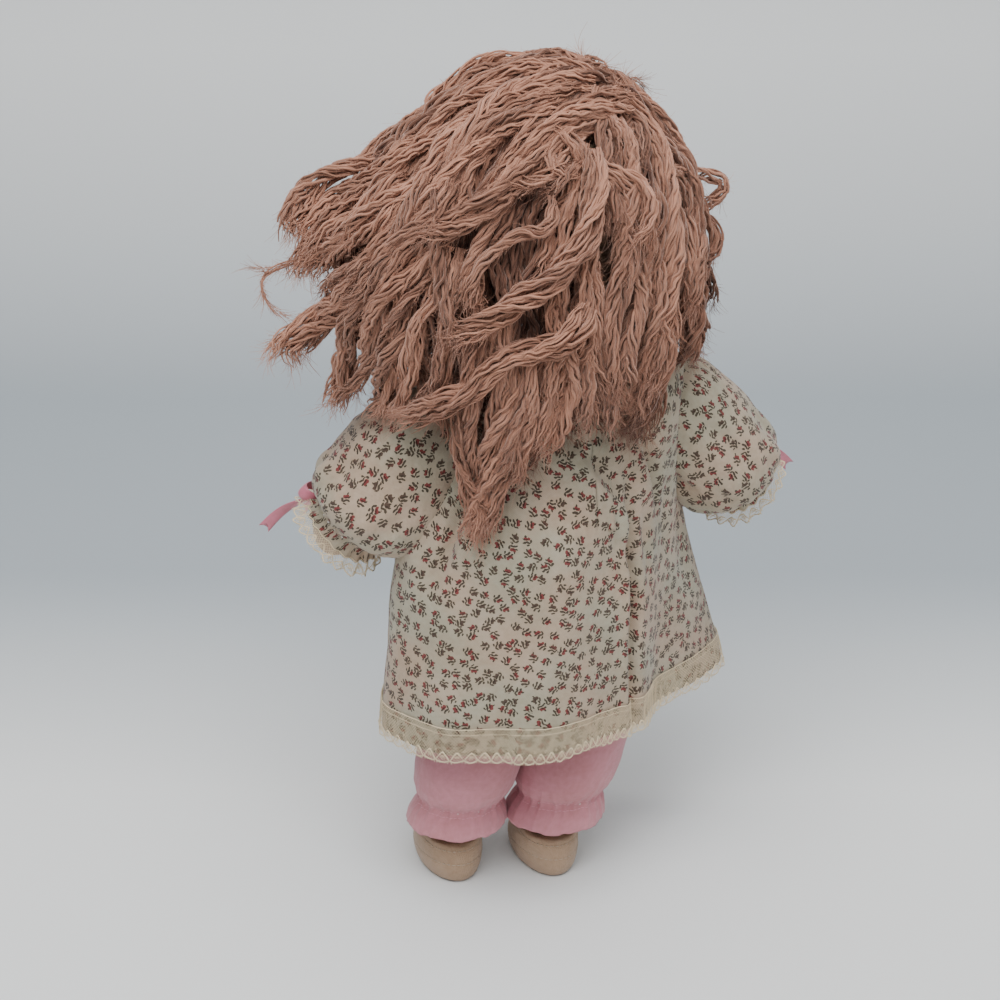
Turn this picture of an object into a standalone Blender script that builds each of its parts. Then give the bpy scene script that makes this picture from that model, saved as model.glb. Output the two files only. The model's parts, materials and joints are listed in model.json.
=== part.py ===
# A standing cloth rag doll with yarn hair, a calico dress and pink bloomers.
# Metres, +Z up. The doll faces -Y and stands on the flat soles of its feet.
# Every solid is one piece of the real doll. A moving piece hangs on an empty at its joint.

from math import cos, pi, radians, sin

import bmesh
import bpy
from mathutils import Matrix, Vector

# Fits
GAP = 0.0003            # clearance between pieces that touch
CLOTH = 0.0009          # wall of the dress and the bloomers
LACE = 0.0007           # wall of the lace trims
RIBBON = 0.0005         # wall of the satin ribbon
OVERRUN = 0.010         # how far a cutter runs past what it cuts

# Where the doll's upright axis stands in the part's frame
AXIS_X = 0.0
AXIS_Y = -0.0010
BODY_BACK = -0.006      # the stuffed body sits this far in front of the dress's axis

# Torso
HIP_HEIGHT = 0.120
TORSO_TALL = 0.114      # from the hip line to the neck seam
TORSO_WIDTH = 0.082
TORSO_DEPTH = 0.046
HIP_SPREAD = 0.0245
HIP_ROLL = 0.0125       # radius of the roll that the legs are sewn along
SHOULDER_DROP = 0.016   # from the neck seam down to the shoulder
SHOULDER_ROLL = 0.010
NECK_SEAM = HIP_HEIGHT + TORSO_TALL
SHOULDER_HEIGHT = NECK_SEAM - SHOULDER_DROP
SHOULDER_SPREAD = TORSO_WIDTH / 2

# Neck and head
NECK_RADIUS = 0.0125
NECK_BALL = 0.0150
NECK_RISE = 0.016       # from the neck seam up to the nod
NECK_SEAT = 0.004       # how deep the neck sits in the torso
NECK_PIVOT = NECK_SEAM + NECK_RISE
HEAD_X = 0.004
HEAD_Y = -0.002
HEAD_WIDTH = 0.092
HEAD_DEPTH = 0.080
HEAD_TALL = 0.090
HEAD_BOTTOM = NECK_PIVOT

# Face, stitched in thread
EYE_SPREAD = 0.016
EYE_RADIUS = 0.0034
EYE_DROP_SHARE = 0.02
NOSE_RADIUS = 0.0020
NOSE_DROP_SHARE = -0.22
MOUTH_DROP_SHARE = -0.42
MOUTH_CURVE_SHARE = 0.05
MOUTH_WIDTH = 0.014
THREAD_PROUD = 0.0010   # how far stitched thread stands off the face
FACE_SHARE = 0.962      # the face's smooth surface, as a share of its cage's depth

# Arms
ARM_RADIUS = 0.0120
WRIST_SHARE = 0.74      # wrist radius as a share of the arm's
ELBOW = (0.030, -0.002, -0.038)      # from the shoulder, along x outward, y and z
WRIST = (0.046, -0.012, -0.060)
PALM = (0.046, -0.030, -0.065)
FINGERTIP = (0.041, -0.046, -0.067)
THUMB_LENGTH = 0.011
THUMB_RADIUS = 0.0042

# Legs and feet
LEG_RADIUS = 0.0175
ANKLE_RADIUS = 0.0132
ANKLE_HEIGHT = 0.0195
LEFT_FOOT_X = 0.044
LEFT_FOOT_Y = -0.006
RIGHT_FOOT_X = 0.003
RIGHT_FOOT_Y = 0.002
FOOT_WIDTH = 0.0310
FOOT_LENGTH = 0.0540
HEEL_BEHIND = 0.0160    # heel behind the middle of the ankle
SOLE_CUT = 0.0005       # depth of the flat on the stuffed sole

# Dress
NECKLINE_RISE = 0.002   # from the neck seam up to the neckline
DRESS_TALL = 0.154
SKIRT_EASE_WIDE = 0.078  # what the hem is wider and deeper than the torso
SKIRT_EASE_DEEP = 0.044
NECKLINE_HEIGHT = NECK_SEAM + NECKLINE_RISE
HEM_HEIGHT = NECKLINE_HEIGHT - DRESS_TALL
HEM_WIDTH = TORSO_WIDTH + SKIRT_EASE_WIDE
HEM_DEPTH = TORSO_DEPTH + SKIRT_EASE_DEEP
SKIRT_FOLDS = 9
FOLD_DEPTH = 0.0016
ARMHOLE_RADIUS = 0.0165
SLIT_WIDTH = 0.0016
SLIT_LENGTH = 0.062
SLIT_ANGLE = radians(95)
PLACKET_WIDTH = 0.011
PLACKET_SHARE = 1.05    # its length as a share of the opening's
SNAP_RADIUS = 0.0032
SNAP_THICK = 0.0009

# Lace and elastic
HEM_LACE_TALL = 0.0150
HEM_LACE_PROUD = 0.0045  # lace below the dress's own hem
SCALLOPS = 18
SCALLOP_DEPTH = 0.0012
NECK_LACE_TALL = 0.006
ELASTIC_RADIUS = 0.0009

# Sleeves
SLEEVE_RADIUS = 0.0265
SLEEVE_START_RADIUS = 0.0175
SLEEVE_START = 0.006    # along the arm from the shoulder
CUFF_FLARE = 0.0160
CUFF_LACE_WIDE = 0.0075
SLEEVE_FOLDS = 7

# Ribbon bows
RIBBON_WIDE = 0.0050
BOW_LOOP = 0.0095
BOW_TAIL = 0.0260
KNOT_RADIUS = 0.0028
BOW_SEGMENTS = 8

# Bloomers
WAIST_RISE = 0.038      # from the hip line up to the edge at the waist
SEAT_EASE_WIDE = 0.0120  # what the seat is wider and deeper than the torso
SEAT_EASE_DEEP = 0.0124
WAIST_HEIGHT = HIP_HEIGHT + WAIST_RISE
SEAT_WIDTH = TORSO_WIDTH + SEAT_EASE_WIDE
SEAT_DEPTH = TORSO_DEPTH + SEAT_EASE_DEEP
LEG_CLOTH_RADIUS = 0.0214
CUFF_GATHER_HEIGHT = 0.0368
RUFFLE_HEIGHT = 0.0272
RUFFLE_RADIUS = 0.0192
RUFFLES = 7
RUFFLE_WAVE = 0.0009
LEG_CLOTH_RING = 20

# Hair
HAIR_THICK = 0.0110
HAIR_LEFT = 0.040       # how far the hair stands off the head on each side
HAIR_BACK = 0.012
HAIR_RIGHT = 0.019
HAIR_FRONT = 0.014
HAIR_RIPPLE = 0.0016
HAIR_FLARE_POWER = 5     # how late the hair swings out on its way down from the crown
PART_TAPE_WIDE = 0.006
PART_TAPE_THICK = 0.0008

MERGE_DISTANCE = 0.00001  # points of a turned piece that fall together on its axis

RING = 10               # points round a stuffed form's cage
ARM_RING = 8
CLOTH_RING = 36         # points round the dress
PUFF_RING = 18          # points round a sleeve or the seat of the bloomers
SMALL_RING = 24         # points round a turned piece
ELASTIC_RING = 18
ELASTIC_SIDES = 4
DETAIL_RING = 8


def clear_scene():
    for item in list(bpy.data.objects):
        bpy.data.objects.remove(item, do_unlink=True)
    for group in list(bpy.data.collections):
        bpy.data.collections.remove(group)


def new_collection(name):
    group = bpy.data.collections.new(name)
    bpy.context.scene.collection.children.link(group)
    return group


def material(name, colour, roughness, metallic=0.0):
    found = bpy.data.materials.get(name)
    if found:
        return found
    made = bpy.data.materials.new(name)
    made.use_nodes = True
    shader = made.node_tree.nodes["Principled BSDF"]
    shader.inputs["Base Color"].default_value = (*colour, 1.0)
    shader.inputs["Roughness"].default_value = roughness
    shader.inputs["Metallic"].default_value = metallic
    made.diffuse_color = (*colour, 1.0)
    return made


def muslin():
    return material("muslin", (0.60, 0.49, 0.39), 0.90)


def calico():
    return material("calico", (0.62, 0.55, 0.48), 0.85)


def bloomer_cotton():
    return material("bloomer_cotton", (0.62, 0.33, 0.36), 0.85)


def lace_thread():
    return material("lace_thread", (0.68, 0.59, 0.46), 0.90)


def satin():
    return material("satin_ribbon", (0.60, 0.22, 0.28), 0.35)


def yarn():
    return material("yarn", (0.42, 0.24, 0.18), 0.95)


def thread():
    return material("face_thread", (0.14, 0.07, 0.05), 0.60)


def blush_thread():
    return material("mouth_thread", (0.45, 0.10, 0.10), 0.60)


def rubber():
    return material("elastic_rubber", (0.75, 0.73, 0.70), 0.70)


def snap_metal():
    return material("snap_metal", (0.60, 0.60, 0.62), 0.35, 1.0)


def at(x, y, z):
    """A place given from the doll's upright axis."""
    return Vector((AXIS_X + x, AXIS_Y + y, z))


def mixed(a, b, share):
    return a + (b - a) * share


def smooth_table(rows, share):
    """Reads a table of (share, values...) at a share, easing from row to row."""
    for low, high in zip(rows, rows[1:]):
        if share <= high[0]:
            t = max(0.0, (share - low[0]) / (high[0] - low[0]))
            return [mixed(p, q, t) for p, q in zip(low[1:], high[1:])]
    return list(rows[-1][1:])


def finish_mesh(name, bm, group, look, smooth=True, closed=True):
    if closed:
        bmesh.ops.recalc_face_normals(bm, faces=bm.faces)
    mesh = bpy.data.meshes.new(name)
    bm.to_mesh(mesh)
    bm.free()
    if smooth:
        mesh.shade_smooth()
        mesh.set_sharp_from_angle(angle=radians(50))
    made = bpy.data.objects.new(name, mesh)
    group.objects.link(made)
    if look:
        mesh.materials.append(look)
    return made


def stacked(bm, rings, closed=True):
    """Joins rings of points by quads and returns the rows of vertices."""
    rows = [[bm.verts.new(p) for p in ring] for ring in rings]
    count = len(rings[0])
    last = count if closed else count - 1
    for low, high in zip(rows, rows[1:]):
        for k in range(last):
            after = (k + 1) % count
            bm.faces.new((low[k], low[after], high[after], high[k]))
    return rows


def loft(name, rings, group, look, crease_ends=False):
    """A closed solid through rings of points, capped at both ends."""
    bm = bmesh.new()
    rows = stacked(bm, rings)
    caps = [bm.faces.new(list(reversed(rows[0]))), bm.faces.new(rows[-1])]
    if crease_ends:
        crease = bm.edges.layers.float.new("crease_edge")
        for cap in caps:
            for edge in cap.edges:
                edge[crease] = 1.0
    return finish_mesh(name, bm, group, look)


def sheet(name, rings, group, look, wall, closed=True):
    """A surface through rings of points, its outside, given its wall inwards by Solidify."""
    bm = bmesh.new()
    stacked(bm, rings, closed)
    made = finish_mesh(name, bm, group, look, closed=False)
    solid = made.modifiers.new("wall", "SOLIDIFY")
    solid.thickness = wall
    solid.offset = -1.0
    solid.use_even_offset = True
    return made


def subdivide(item, levels=1):
    smoother = item.modifiers.new("stuffing", "SUBSURF")
    smoother.levels = levels
    smoother.render_levels = levels


def facet(item):
    """Flat triangles, so that a cut meets no bent face."""
    if "facets" not in item.modifiers:
        split = item.modifiers.new("facets", "TRIANGULATE")
        split.quad_method = "FIXED"


def boolean(item, other, operation):
    facet(item)
    facet(other)
    change = item.modifiers.new(operation.lower() + "_" + other.name, "BOOLEAN")
    change.operation = operation
    change.object = other
    change.solver = "EXACT"


def as_cutter(item):
    item.hide_render = True
    item.display_type = "WIRE"
    return item


def ball(name, centre, radius, group, look=None, segments=SMALL_RING):
    bm = bmesh.new()
    bmesh.ops.create_uvsphere(bm, u_segments=segments, v_segments=segments // 2, radius=radius)
    bmesh.ops.translate(bm, verts=bm.verts, vec=centre)
    return finish_mesh(name, bm, group, look)


def bar(name, start, end, radius, group, look=None, segments=SMALL_RING):
    """A plain round bar from start to end."""
    way = Vector(end) - Vector(start)
    bm = bmesh.new()
    bmesh.ops.create_cone(
        bm, cap_ends=True, segments=segments, radius1=radius, radius2=radius, depth=way.length
    )
    turn = way.to_track_quat("Z", "Y").to_matrix().to_4x4()
    middle = (Vector(start) + Vector(end)) / 2
    bmesh.ops.transform(bm, matrix=Matrix.Translation(middle) @ turn, verts=bm.verts)
    return finish_mesh(name, bm, group, look)


def block(name, low, high, group, look=None):
    low, high = Vector(low), Vector(high)
    bm = bmesh.new()
    bmesh.ops.create_cube(bm, size=1.0)
    size = Matrix.Diagonal((*(high - low), 1.0))
    bmesh.ops.transform(bm, matrix=Matrix.Translation((low + high) / 2) @ size, verts=bm.verts)
    return finish_mesh(name, bm, group, look, smooth=False)


def oval(centre, half_width, half_depth, count):
    """A level ring, starting on the doll's left and running by its back."""
    ring = []
    for k in range(count):
        angle = 2 * pi * k / count
        offset = Vector((half_width * cos(angle), half_depth * sin(angle), 0))
        ring.append(centre + offset)
    return ring


def turned_ring(centre, along, wide, thick, count, side):
    """A ring square to a direction, with its wide way towards side."""
    along = along.normalized()
    across = (side - along * side.dot(along)).normalized()
    other = along.cross(across)
    points = []
    for k in range(count):
        angle = 2 * pi * k / count
        points.append(centre + across * (wide * cos(angle)) + other * (thick * sin(angle)))
    return points


def torus(name, centre, along, radius, minor, group, look, stretch=1.0):
    """An elastic ring round a limb, square to a direction."""
    bm = bmesh.new()
    side = Vector((1, 0, 0))
    rows = []
    for point in turned_ring(centre, along, radius, radius * stretch, ELASTIC_RING, side):
        outward = (point - centre).normalized()
        up = along.normalized()
        ring = []
        for k in range(ELASTIC_SIDES):
            angle = 2 * pi * k / ELASTIC_SIDES
            ring.append(bm.verts.new(point + outward * (minor * cos(angle)) + up * (minor * sin(angle))))
        rows.append(ring)
    for index, row in enumerate(rows):
        following = rows[(index + 1) % len(rows)]
        for k in range(ELASTIC_SIDES):
            after = (k + 1) % ELASTIC_SIDES
            bm.faces.new((row[k], row[after], following[after], following[k]))
    return finish_mesh(name, bm, group, look)


def pivot(name, place):
    """An empty on a joint's axis, which carries what moves with the joint."""
    empty = bpy.data.objects.new(name, None)
    empty.location = place
    empty.empty_display_size = HIP_ROLL
    bpy.context.scene.collection.objects.link(empty)
    return empty


def hang(item, empty):
    """Parents a piece to an empty without moving it, its origin at the joint."""
    item.data.transform(Matrix.Translation(-empty.location))
    item.parent = empty


# Torso, neck and head

# Each row: height share from the hip line, width share, depth share
TORSO_SHARES = (
    (-0.050, 0.80, 0.34),
    (0.020, 0.92, 0.42),
    (0.085, 0.98, 0.47),
    (0.165, 1.00, 0.80),
    (0.300, 0.97, 1.00),
    (0.500, 0.88, 1.00),
    (0.700, 0.83, 0.92),
    (0.860, 0.88, 0.76),
    (0.960, 0.66, 0.62),
    (1.000, 0.46, 0.58),
)


def hip_place(side):
    return at(side * HIP_SPREAD, BODY_BACK, HIP_HEIGHT)


def shoulder_place(side):
    return at(side * SHOULDER_SPREAD, BODY_BACK, SHOULDER_HEIGHT)


def neck_place():
    return at(0, BODY_BACK, NECK_PIVOT)


def torso_rings():
    rings = []
    for height, wide, deep in TORSO_SHARES:
        centre = at(0, BODY_BACK, HIP_HEIGHT + TORSO_TALL * height)
        rings.append(oval(centre, TORSO_WIDTH / 2 * wide, TORSO_DEPTH / 2 * deep, RING))
    return rings


def neck_foot():
    return NECK_SEAM - NECK_SEAT


def make_torso(parts, cutters):
    torso = loft("torso", torso_rings(), parts, muslin())
    subdivide(torso)
    reach = TORSO_WIDTH / 2 - HIP_ROLL / 4
    left = at(reach, BODY_BACK, HIP_HEIGHT)
    right = at(-reach, BODY_BACK, HIP_HEIGHT)
    roll = as_cutter(bar("hip_roll", right, left, HIP_ROLL, cutters))
    boolean(torso, roll, "UNION")
    for side, word in ((1, "left"), (-1, "right")):
        cap = as_cutter(ball("shoulder_roll_" + word, shoulder_place(side), SHOULDER_ROLL, cutters))
        boolean(torso, cap, "UNION")
    seat_low = at(0, BODY_BACK, neck_foot())
    seat_high = at(0, BODY_BACK, neck_foot() + OVERRUN)
    seat = as_cutter(bar("neck_socket", seat_low, seat_high, NECK_RADIUS + GAP, cutters))
    boolean(torso, seat, "DIFFERENCE")


def make_neck(parts, empty):
    """A turned tube with a round top, which the head rolls on."""
    low = neck_foot() + GAP
    profile = [(0.0, NECK_PIVOT + NECK_BALL)]
    steps = 6
    foot = NECK_RADIUS / NECK_BALL
    last = pi - pi / 3
    for k in range(1, steps + 1):
        angle = last * k / steps
        reach = max(NECK_BALL * sin(angle), 0.0)
        profile.append((reach, NECK_PIVOT + NECK_BALL * cos(angle)))
    profile.append((NECK_BALL * foot, mixed(profile[-1][1], low, 0.5)))
    profile.append((NECK_RADIUS, low))
    profile.append((0.0, low))
    bm = bmesh.new()
    points = [bm.verts.new((x, 0, z)) for x, z in profile]
    for a, b in zip(points, points[1:]):
        bm.edges.new((a, b))
    mesh = bpy.data.meshes.new("neck")
    bm.to_mesh(mesh)
    bm.free()
    mesh.materials.append(muslin())
    neck = bpy.data.objects.new("neck", mesh)
    parts.objects.link(neck)
    mesh.transform(Matrix.Translation((0, 0, -NECK_PIVOT)))
    neck.parent = empty
    turn = neck.modifiers.new("turned", "SCREW")
    turn.steps = SMALL_RING
    turn.render_steps = SMALL_RING
    turn.use_merge_vertices = True
    turn.merge_threshold = MERGE_DISTANCE
    turn.use_smooth_shade = True


# Each row: height share of the head, width share, depth share, forward share of the depth
HEAD_SHARES = (
    (0.000, 0.46, 0.44, 0.00),
    (0.055, 0.72, 0.68, 0.02),
    (0.190, 0.98, 0.94, 0.04),
    (0.400, 1.06, 1.04, 0.03),
    (0.620, 1.04, 1.05, 0.00),
    (0.820, 0.84, 0.88, -0.02),
    (0.950, 0.50, 0.56, -0.03),
    (1.000, 0.20, 0.24, -0.03),
)


def head_rings(margin=0.0):
    rings = []
    low = HEAD_BOTTOM - margin
    tall = HEAD_TALL + margin * 2
    for height, wide, deep, forward in HEAD_SHARES:
        centre = at(HEAD_X, HEAD_Y - HEAD_DEPTH * forward, low + tall * height)
        half_width = HEAD_WIDTH / 2 * wide + margin
        half_depth = HEAD_DEPTH / 2 * deep + margin
        rings.append(oval(centre, half_width, half_depth, RING))
    return rings


def make_head(parts, cutters, empty):
    head = loft("head", head_rings(), parts, muslin())
    subdivide(head)
    socket = as_cutter(ball("head_socket", neck_place(), NECK_BALL + GAP, cutters))
    boolean(head, socket, "DIFFERENCE")
    hang(head, empty)
    hang(socket, empty)


def face_point(x, up_share):
    """A point on the front of the head, at a share of its half height above its middle."""
    height = 0.5 + up_share / 2
    wide, deep, forward = smooth_table(HEAD_SHARES, height)
    slope = 1 - (x / (HEAD_WIDTH / 2 * wide)) ** 2
    y = HEAD_Y - HEAD_DEPTH * forward - HEAD_DEPTH / 2 * deep * FACE_SHARE * max(slope, 0.0) ** 0.5
    return at(HEAD_X + x, y, HEAD_BOTTOM + HEAD_TALL * height)


def head_skin(name, margin, cutters, empty):
    """The head's own surface with a clearance, which what sits on the head is cut by."""
    skin = as_cutter(loft(name, head_rings(margin), cutters, None))
    subdivide(skin)
    hang(skin, empty)
    return skin


def make_face(parts, skin, empty):
    for side, word in ((1, "left"), (-1, "right")):
        place = face_point(side * EYE_SPREAD, EYE_DROP_SHARE)
        eye = ball("eye_" + word, place, EYE_RADIUS, parts, thread(), DETAIL_RING)
        boolean(eye, skin, "DIFFERENCE")
        hang(eye, empty)
    nose = ball("nose", face_point(0, NOSE_DROP_SHARE), NOSE_RADIUS, parts, blush_thread(), DETAIL_RING)
    boolean(nose, skin, "DIFFERENCE")
    hang(nose, empty)
    rings = []
    steps = 8
    for k in range(steps + 1):
        share = 2 * k / steps - 1
        lift = MOUTH_CURVE_SHARE * share * share
        place = face_point(share * MOUTH_WIDTH / 2, MOUTH_DROP_SHARE + lift)
        radius = THREAD_PROUD * mixed(1.0, 0.6, share * share)
        rings.append(turned_ring(place, Vector((1, 0, 0)), radius, radius, 6, Vector((0, 0, 1))))
    mouth = loft("mouth", rings, parts, blush_thread())
    boolean(mouth, skin, "DIFFERENCE")
    hang(mouth, empty)


# Arms and legs


def arm_point(side, offset):
    x, y, z = offset
    return shoulder_place(side) + Vector((side * x, y, z))


def arm_path(side):
    start = shoulder_place(side)
    return [start, arm_point(side, ELBOW), arm_point(side, WRIST), arm_point(side, PALM),
            arm_point(side, FINGERTIP)]


def spline(points, share):
    """A smooth place on the way through points, at a share of the whole from 0 to 1."""
    runs = len(points) - 1
    place = min(share, 0.99999) * runs
    k = int(place)
    t = place - k
    before = points[k - 1] if k else points[0] * 2 - points[1]
    after = points[k + 2] if k + 2 <= runs else points[-1] * 2 - points[-2]
    a, b = points[k], points[k + 1]
    return ((b - before) * t + a * 2 + (before * 2 - a * 5 + b * 4 - after) * t * t
            + (a * 3 - before - b * 3 + after) * t ** 3) / 2


def spline_way(points, share):
    step = 0.01
    ahead = spline(points, min(share + step, 1.0))
    behind = spline(points, max(share - step, 0.0))
    return (ahead - behind).normalized()


# Each row: share along the arm, wide share of the arm radius, thick share
ARM_SHARES = (
    (0.00, 0.80, 0.80),
    (0.10, 0.92, 0.92),
    (0.25, 1.00, 1.00),
    (0.38, 0.92, 0.92),
    (0.47, WRIST_SHARE, WRIST_SHARE),
    (0.57, WRIST_SHARE, WRIST_SHARE),
    (0.68, 0.92, 0.74),
    (0.82, 1.00, 0.70),
    (0.93, 0.84, 0.60),
    (1.00, 0.44, 0.34),
)


def make_arm(side, word, parts, cutters, empty):
    path = arm_path(side)
    rings = []
    for share, wide, thick in ARM_SHARES:
        way = spline_way(path, share)
        if side < 0:
            across = Vector((-0.35, 0, 1))
        else:
            across = Vector((0.35, 0, 1))
        wide_radius, thick_radius = ARM_RADIUS * wide, ARM_RADIUS * thick
        ring = turned_ring(spline(path, share), way, wide_radius, thick_radius, ARM_RING, across)
        rings.append(ring)
    arm = loft("arm_" + word, rings, parts, muslin())
    subdivide(arm)
    root = spline(path, 0.74)
    tip = root + Vector((-side * THUMB_LENGTH * 0.7, -THUMB_LENGTH * 0.35, THUMB_LENGTH * 0.75))
    thumb_rings = []
    for share, size in ((0.0, 1.1), (0.5, 1.0), (0.85, 0.8), (1.0, 0.35)):
        centre = root.lerp(tip, share)
        thumb_rings.append(
            turned_ring(centre, tip - root, THUMB_RADIUS * size, THUMB_RADIUS * size, 8, Vector((0, 1, 0)))
        )
    thumb = as_cutter(loft("thumb_" + word, thumb_rings, cutters, None))
    subdivide(thumb)
    boolean(arm, thumb, "UNION")
    roll = as_cutter(ball("arm_socket_" + word, shoulder_place(side), SHOULDER_ROLL + GAP, cutters))
    boolean(arm, roll, "DIFFERENCE")
    for item in (arm, thumb, roll):
        hang(item, empty)


def ankle_place(side):
    if side > 0:
        return at(LEFT_FOOT_X, LEFT_FOOT_Y, ANKLE_HEIGHT)
    return at(RIGHT_FOOT_X, RIGHT_FOOT_Y, ANKLE_HEIGHT)


def leg_centre(side, height):
    """The middle of a leg at a height, on the line from the hip to the ankle."""
    hip, ankle = hip_place(side), ankle_place(side)
    share = (hip.z - height) / (hip.z - ankle.z)
    return hip.lerp(ankle, share)


# Each row: share from the hip to the ankle, width share of the leg radius, depth share
LEG_SHARES = (
    (0.030, 1.12, 0.48),
    (0.140, 1.08, 0.57),
    (0.290, 1.04, 0.88),
    (0.520, 1.00, 1.00),
    (0.640, 0.92, 0.94),
)
# The same below the calf, as shares of the ankle radius
ANKLE_SHARES = (
    (0.790, 1.00, 1.02),
    (1.000, 0.98, 1.00),
)


def make_leg(side, word, parts, cutters, empty):
    hip, ankle = hip_place(side), ankle_place(side) + Vector((0, 0, GAP))
    rings = []
    for table, radius in ((ANKLE_SHARES, ANKLE_RADIUS), (LEG_SHARES, LEG_RADIUS)):
        for share, wide, deep in reversed(table):
            rings.append(oval(hip.lerp(ankle, share), radius * wide, radius * deep, RING))
    leg = loft("leg_" + word, rings, parts, muslin(), crease_ends=True)
    subdivide(leg)
    inner = at(-TORSO_WIDTH, BODY_BACK, HIP_HEIGHT)
    outer = at(TORSO_WIDTH, BODY_BACK, HIP_HEIGHT)
    socket = as_cutter(bar("hip_socket_" + word, inner, outer, HIP_ROLL + GAP, cutters))
    boolean(leg, socket, "DIFFERENCE")
    hang(leg, empty)
    hang(socket, empty)


# Each row: height share of the ankle height, width share, heel share, toe share
FOOT_SHARES = (
    (0.000, 0.82, 0.80, 0.93),
    (0.100, 0.94, 0.93, 0.97),
    (0.380, 1.02, 1.04, 1.02),
    (0.680, 0.99, 1.02, 0.88),
    (0.860, 0.92, 0.94, 0.60),
    (1.000, 0.86, 0.86, 0.38),
)


def make_foot(side, word, parts, cutters, empty):
    middle = ankle_place(side)
    toe_ahead = FOOT_LENGTH - HEEL_BEHIND
    rings = []
    for height, wide, heel, toe in FOOT_SHARES:
        z = mixed(-SOLE_CUT * 2, ANKLE_HEIGHT, height)
        back = HEEL_BEHIND * heel
        front = -toe_ahead * toe
        centre = Vector((middle.x, middle.y + (back + front) / 2, z))
        rings.append(oval(centre, FOOT_WIDTH / 2 * wide, (back - front) / 2, RING))
    foot = loft("foot_" + word, rings, parts, muslin(), crease_ends=True)
    subdivide(foot)
    low = Vector((middle.x - FOOT_LENGTH, middle.y - FOOT_LENGTH * 2, -OVERRUN))
    high = Vector((middle.x + FOOT_LENGTH, middle.y + FOOT_LENGTH, 0))
    ground = as_cutter(block("sole_flat_" + word, low, high, cutters))
    boolean(foot, ground, "DIFFERENCE")
    hang(foot, empty)
    hang(ground, empty)


# Dress

# The skirt's outline from above, from the doll's left by its back and right to its front.
# Each row: x and y at the hem, the middle of the skirt and below the arms, as shares of the
# hem's half width and half depth. The back ends in a deep fold on the right.
SKIRT_SHARES = (
    (0.94, 0.09, 0.89, 0.11, 0.84, 0.11),
    (0.89, 0.42, 0.82, 0.42, 0.78, 0.40),
    (0.76, 0.64, 0.70, 0.64, 0.65, 0.64),
    (0.57, 0.82, 0.52, 0.82, 0.47, 0.82),
    (0.34, 0.93, 0.31, 0.93, 0.27, 0.93),
    (0.07, 0.93, 0.06, 0.95, 0.05, 0.95),
    (-0.18, 0.78, -0.18, 0.80, -0.18, 0.82),
    (-0.37, 0.60, -0.37, 0.62, -0.35, 0.64),
    (-0.50, 0.34, -0.49, 0.38, -0.48, 0.42),
    (-0.80, -0.02, -0.64, 0.08, -0.60, 0.14),
    (-1.06, -0.33, -0.82, -0.26, -0.67, -0.18),
    (-1.00, -0.64, -0.76, -0.56, -0.63, -0.44),
    (-0.77, -0.87, -0.60, -0.76, -0.55, -0.62),
    (-0.50, -0.98, -0.40, -0.87, -0.35, -0.73),
    (-0.22, -1.04, -0.18, -0.93, -0.15, -0.78),
    (0.05, -1.07, 0.05, -0.94, 0.05, -0.78),
    (0.33, -1.02, 0.28, -0.91, 0.25, -0.76),
    (0.58, -0.91, 0.50, -0.82, 0.48, -0.67),
    (0.78, -0.69, 0.71, -0.62, 0.68, -0.49),
    (0.90, -0.31, 0.85, -0.27, 0.80, -0.20),
)
# Each row: share from the hem up to the neckline, then shares of the hem's size above the
# arms: width, front and back
BODICE_SHARES = (
    (0.770, 0.690, 0.660, 0.840),
    (0.880, 0.700, 0.650, 0.740),
    (0.945, 0.655, 0.600, 0.655),
    (0.980, 0.530, 0.500, 0.550),
    (1.000, 0.290, 0.400, 0.420),
)
SKIRT_MIDDLE_SHARE = 0.35
SKIRT_TOP_SHARE = 0.60
DRESS_ROW_SHARES = (0.0, 0.10, 0.22, 0.35, 0.48, 0.60, 0.69, 0.77, 0.88, 0.945, 0.98, 1.0)


def skirt_outline(angle, column):
    """A point of one of the skirt's three outlines, on a smooth way through its rows."""
    count = len(SKIRT_SHARES)
    place = angle / (2 * pi) * count
    k = int(place // 1)
    t = place - k
    near = []
    for row in range(k - 1, k + 3):
        x_share, y_share = SKIRT_SHARES[row % count][column * 2:column * 2 + 2]
        near.append(Vector((HEM_WIDTH / 2 * x_share, HEM_DEPTH / 2 * y_share)))
    before, a, b, after = near
    return ((b - before) * t + a * 2 + (before * 2 - a * 5 + b * 4 - after) * t * t
            + (a * 3 - before - b * 3 + after) * t ** 3) / 2


def bodice_outline(angle, share):
    wide, front, back = smooth_table(BODICE_SHARES, share)
    half_depth = HEM_DEPTH / 2 * (back if sin(angle) > 0 else front)
    return Vector((HEM_WIDTH / 2 * wide * cos(angle), BODY_BACK + half_depth * sin(angle)))


def dress_point(angle, share, proud=0.0):
    """A point on the outside of the dress, at a share of its height and an angle round it."""
    bodice_low = BODICE_SHARES[0][0]
    if share < SKIRT_MIDDLE_SHARE:
        place = skirt_outline(angle, 0).lerp(skirt_outline(angle, 1), share / SKIRT_MIDDLE_SHARE)
    elif share < SKIRT_TOP_SHARE:
        t = (share - SKIRT_MIDDLE_SHARE) / (SKIRT_TOP_SHARE - SKIRT_MIDDLE_SHARE)
        place = skirt_outline(angle, 1).lerp(skirt_outline(angle, 2), t)
    elif share < bodice_low:
        t = (share - SKIRT_TOP_SHARE) / (bodice_low - SKIRT_TOP_SHARE)
        place = skirt_outline(angle, 2).lerp(bodice_outline(angle, share), t)
    else:
        place = bodice_outline(angle, share)
    reach = proud + FOLD_DEPTH * (1 - share) * cos(SKIRT_FOLDS * angle)
    x = place.x + reach * cos(angle)
    y = place.y + reach * sin(angle)
    return at(x, y, mixed(HEM_HEIGHT, NECKLINE_HEIGHT, share))


def dress_ring(share, first, last, steps, proud=0.0):
    return [dress_point(mixed(first, last, k / steps), share, proud) for k in range(steps + 1)]


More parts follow.
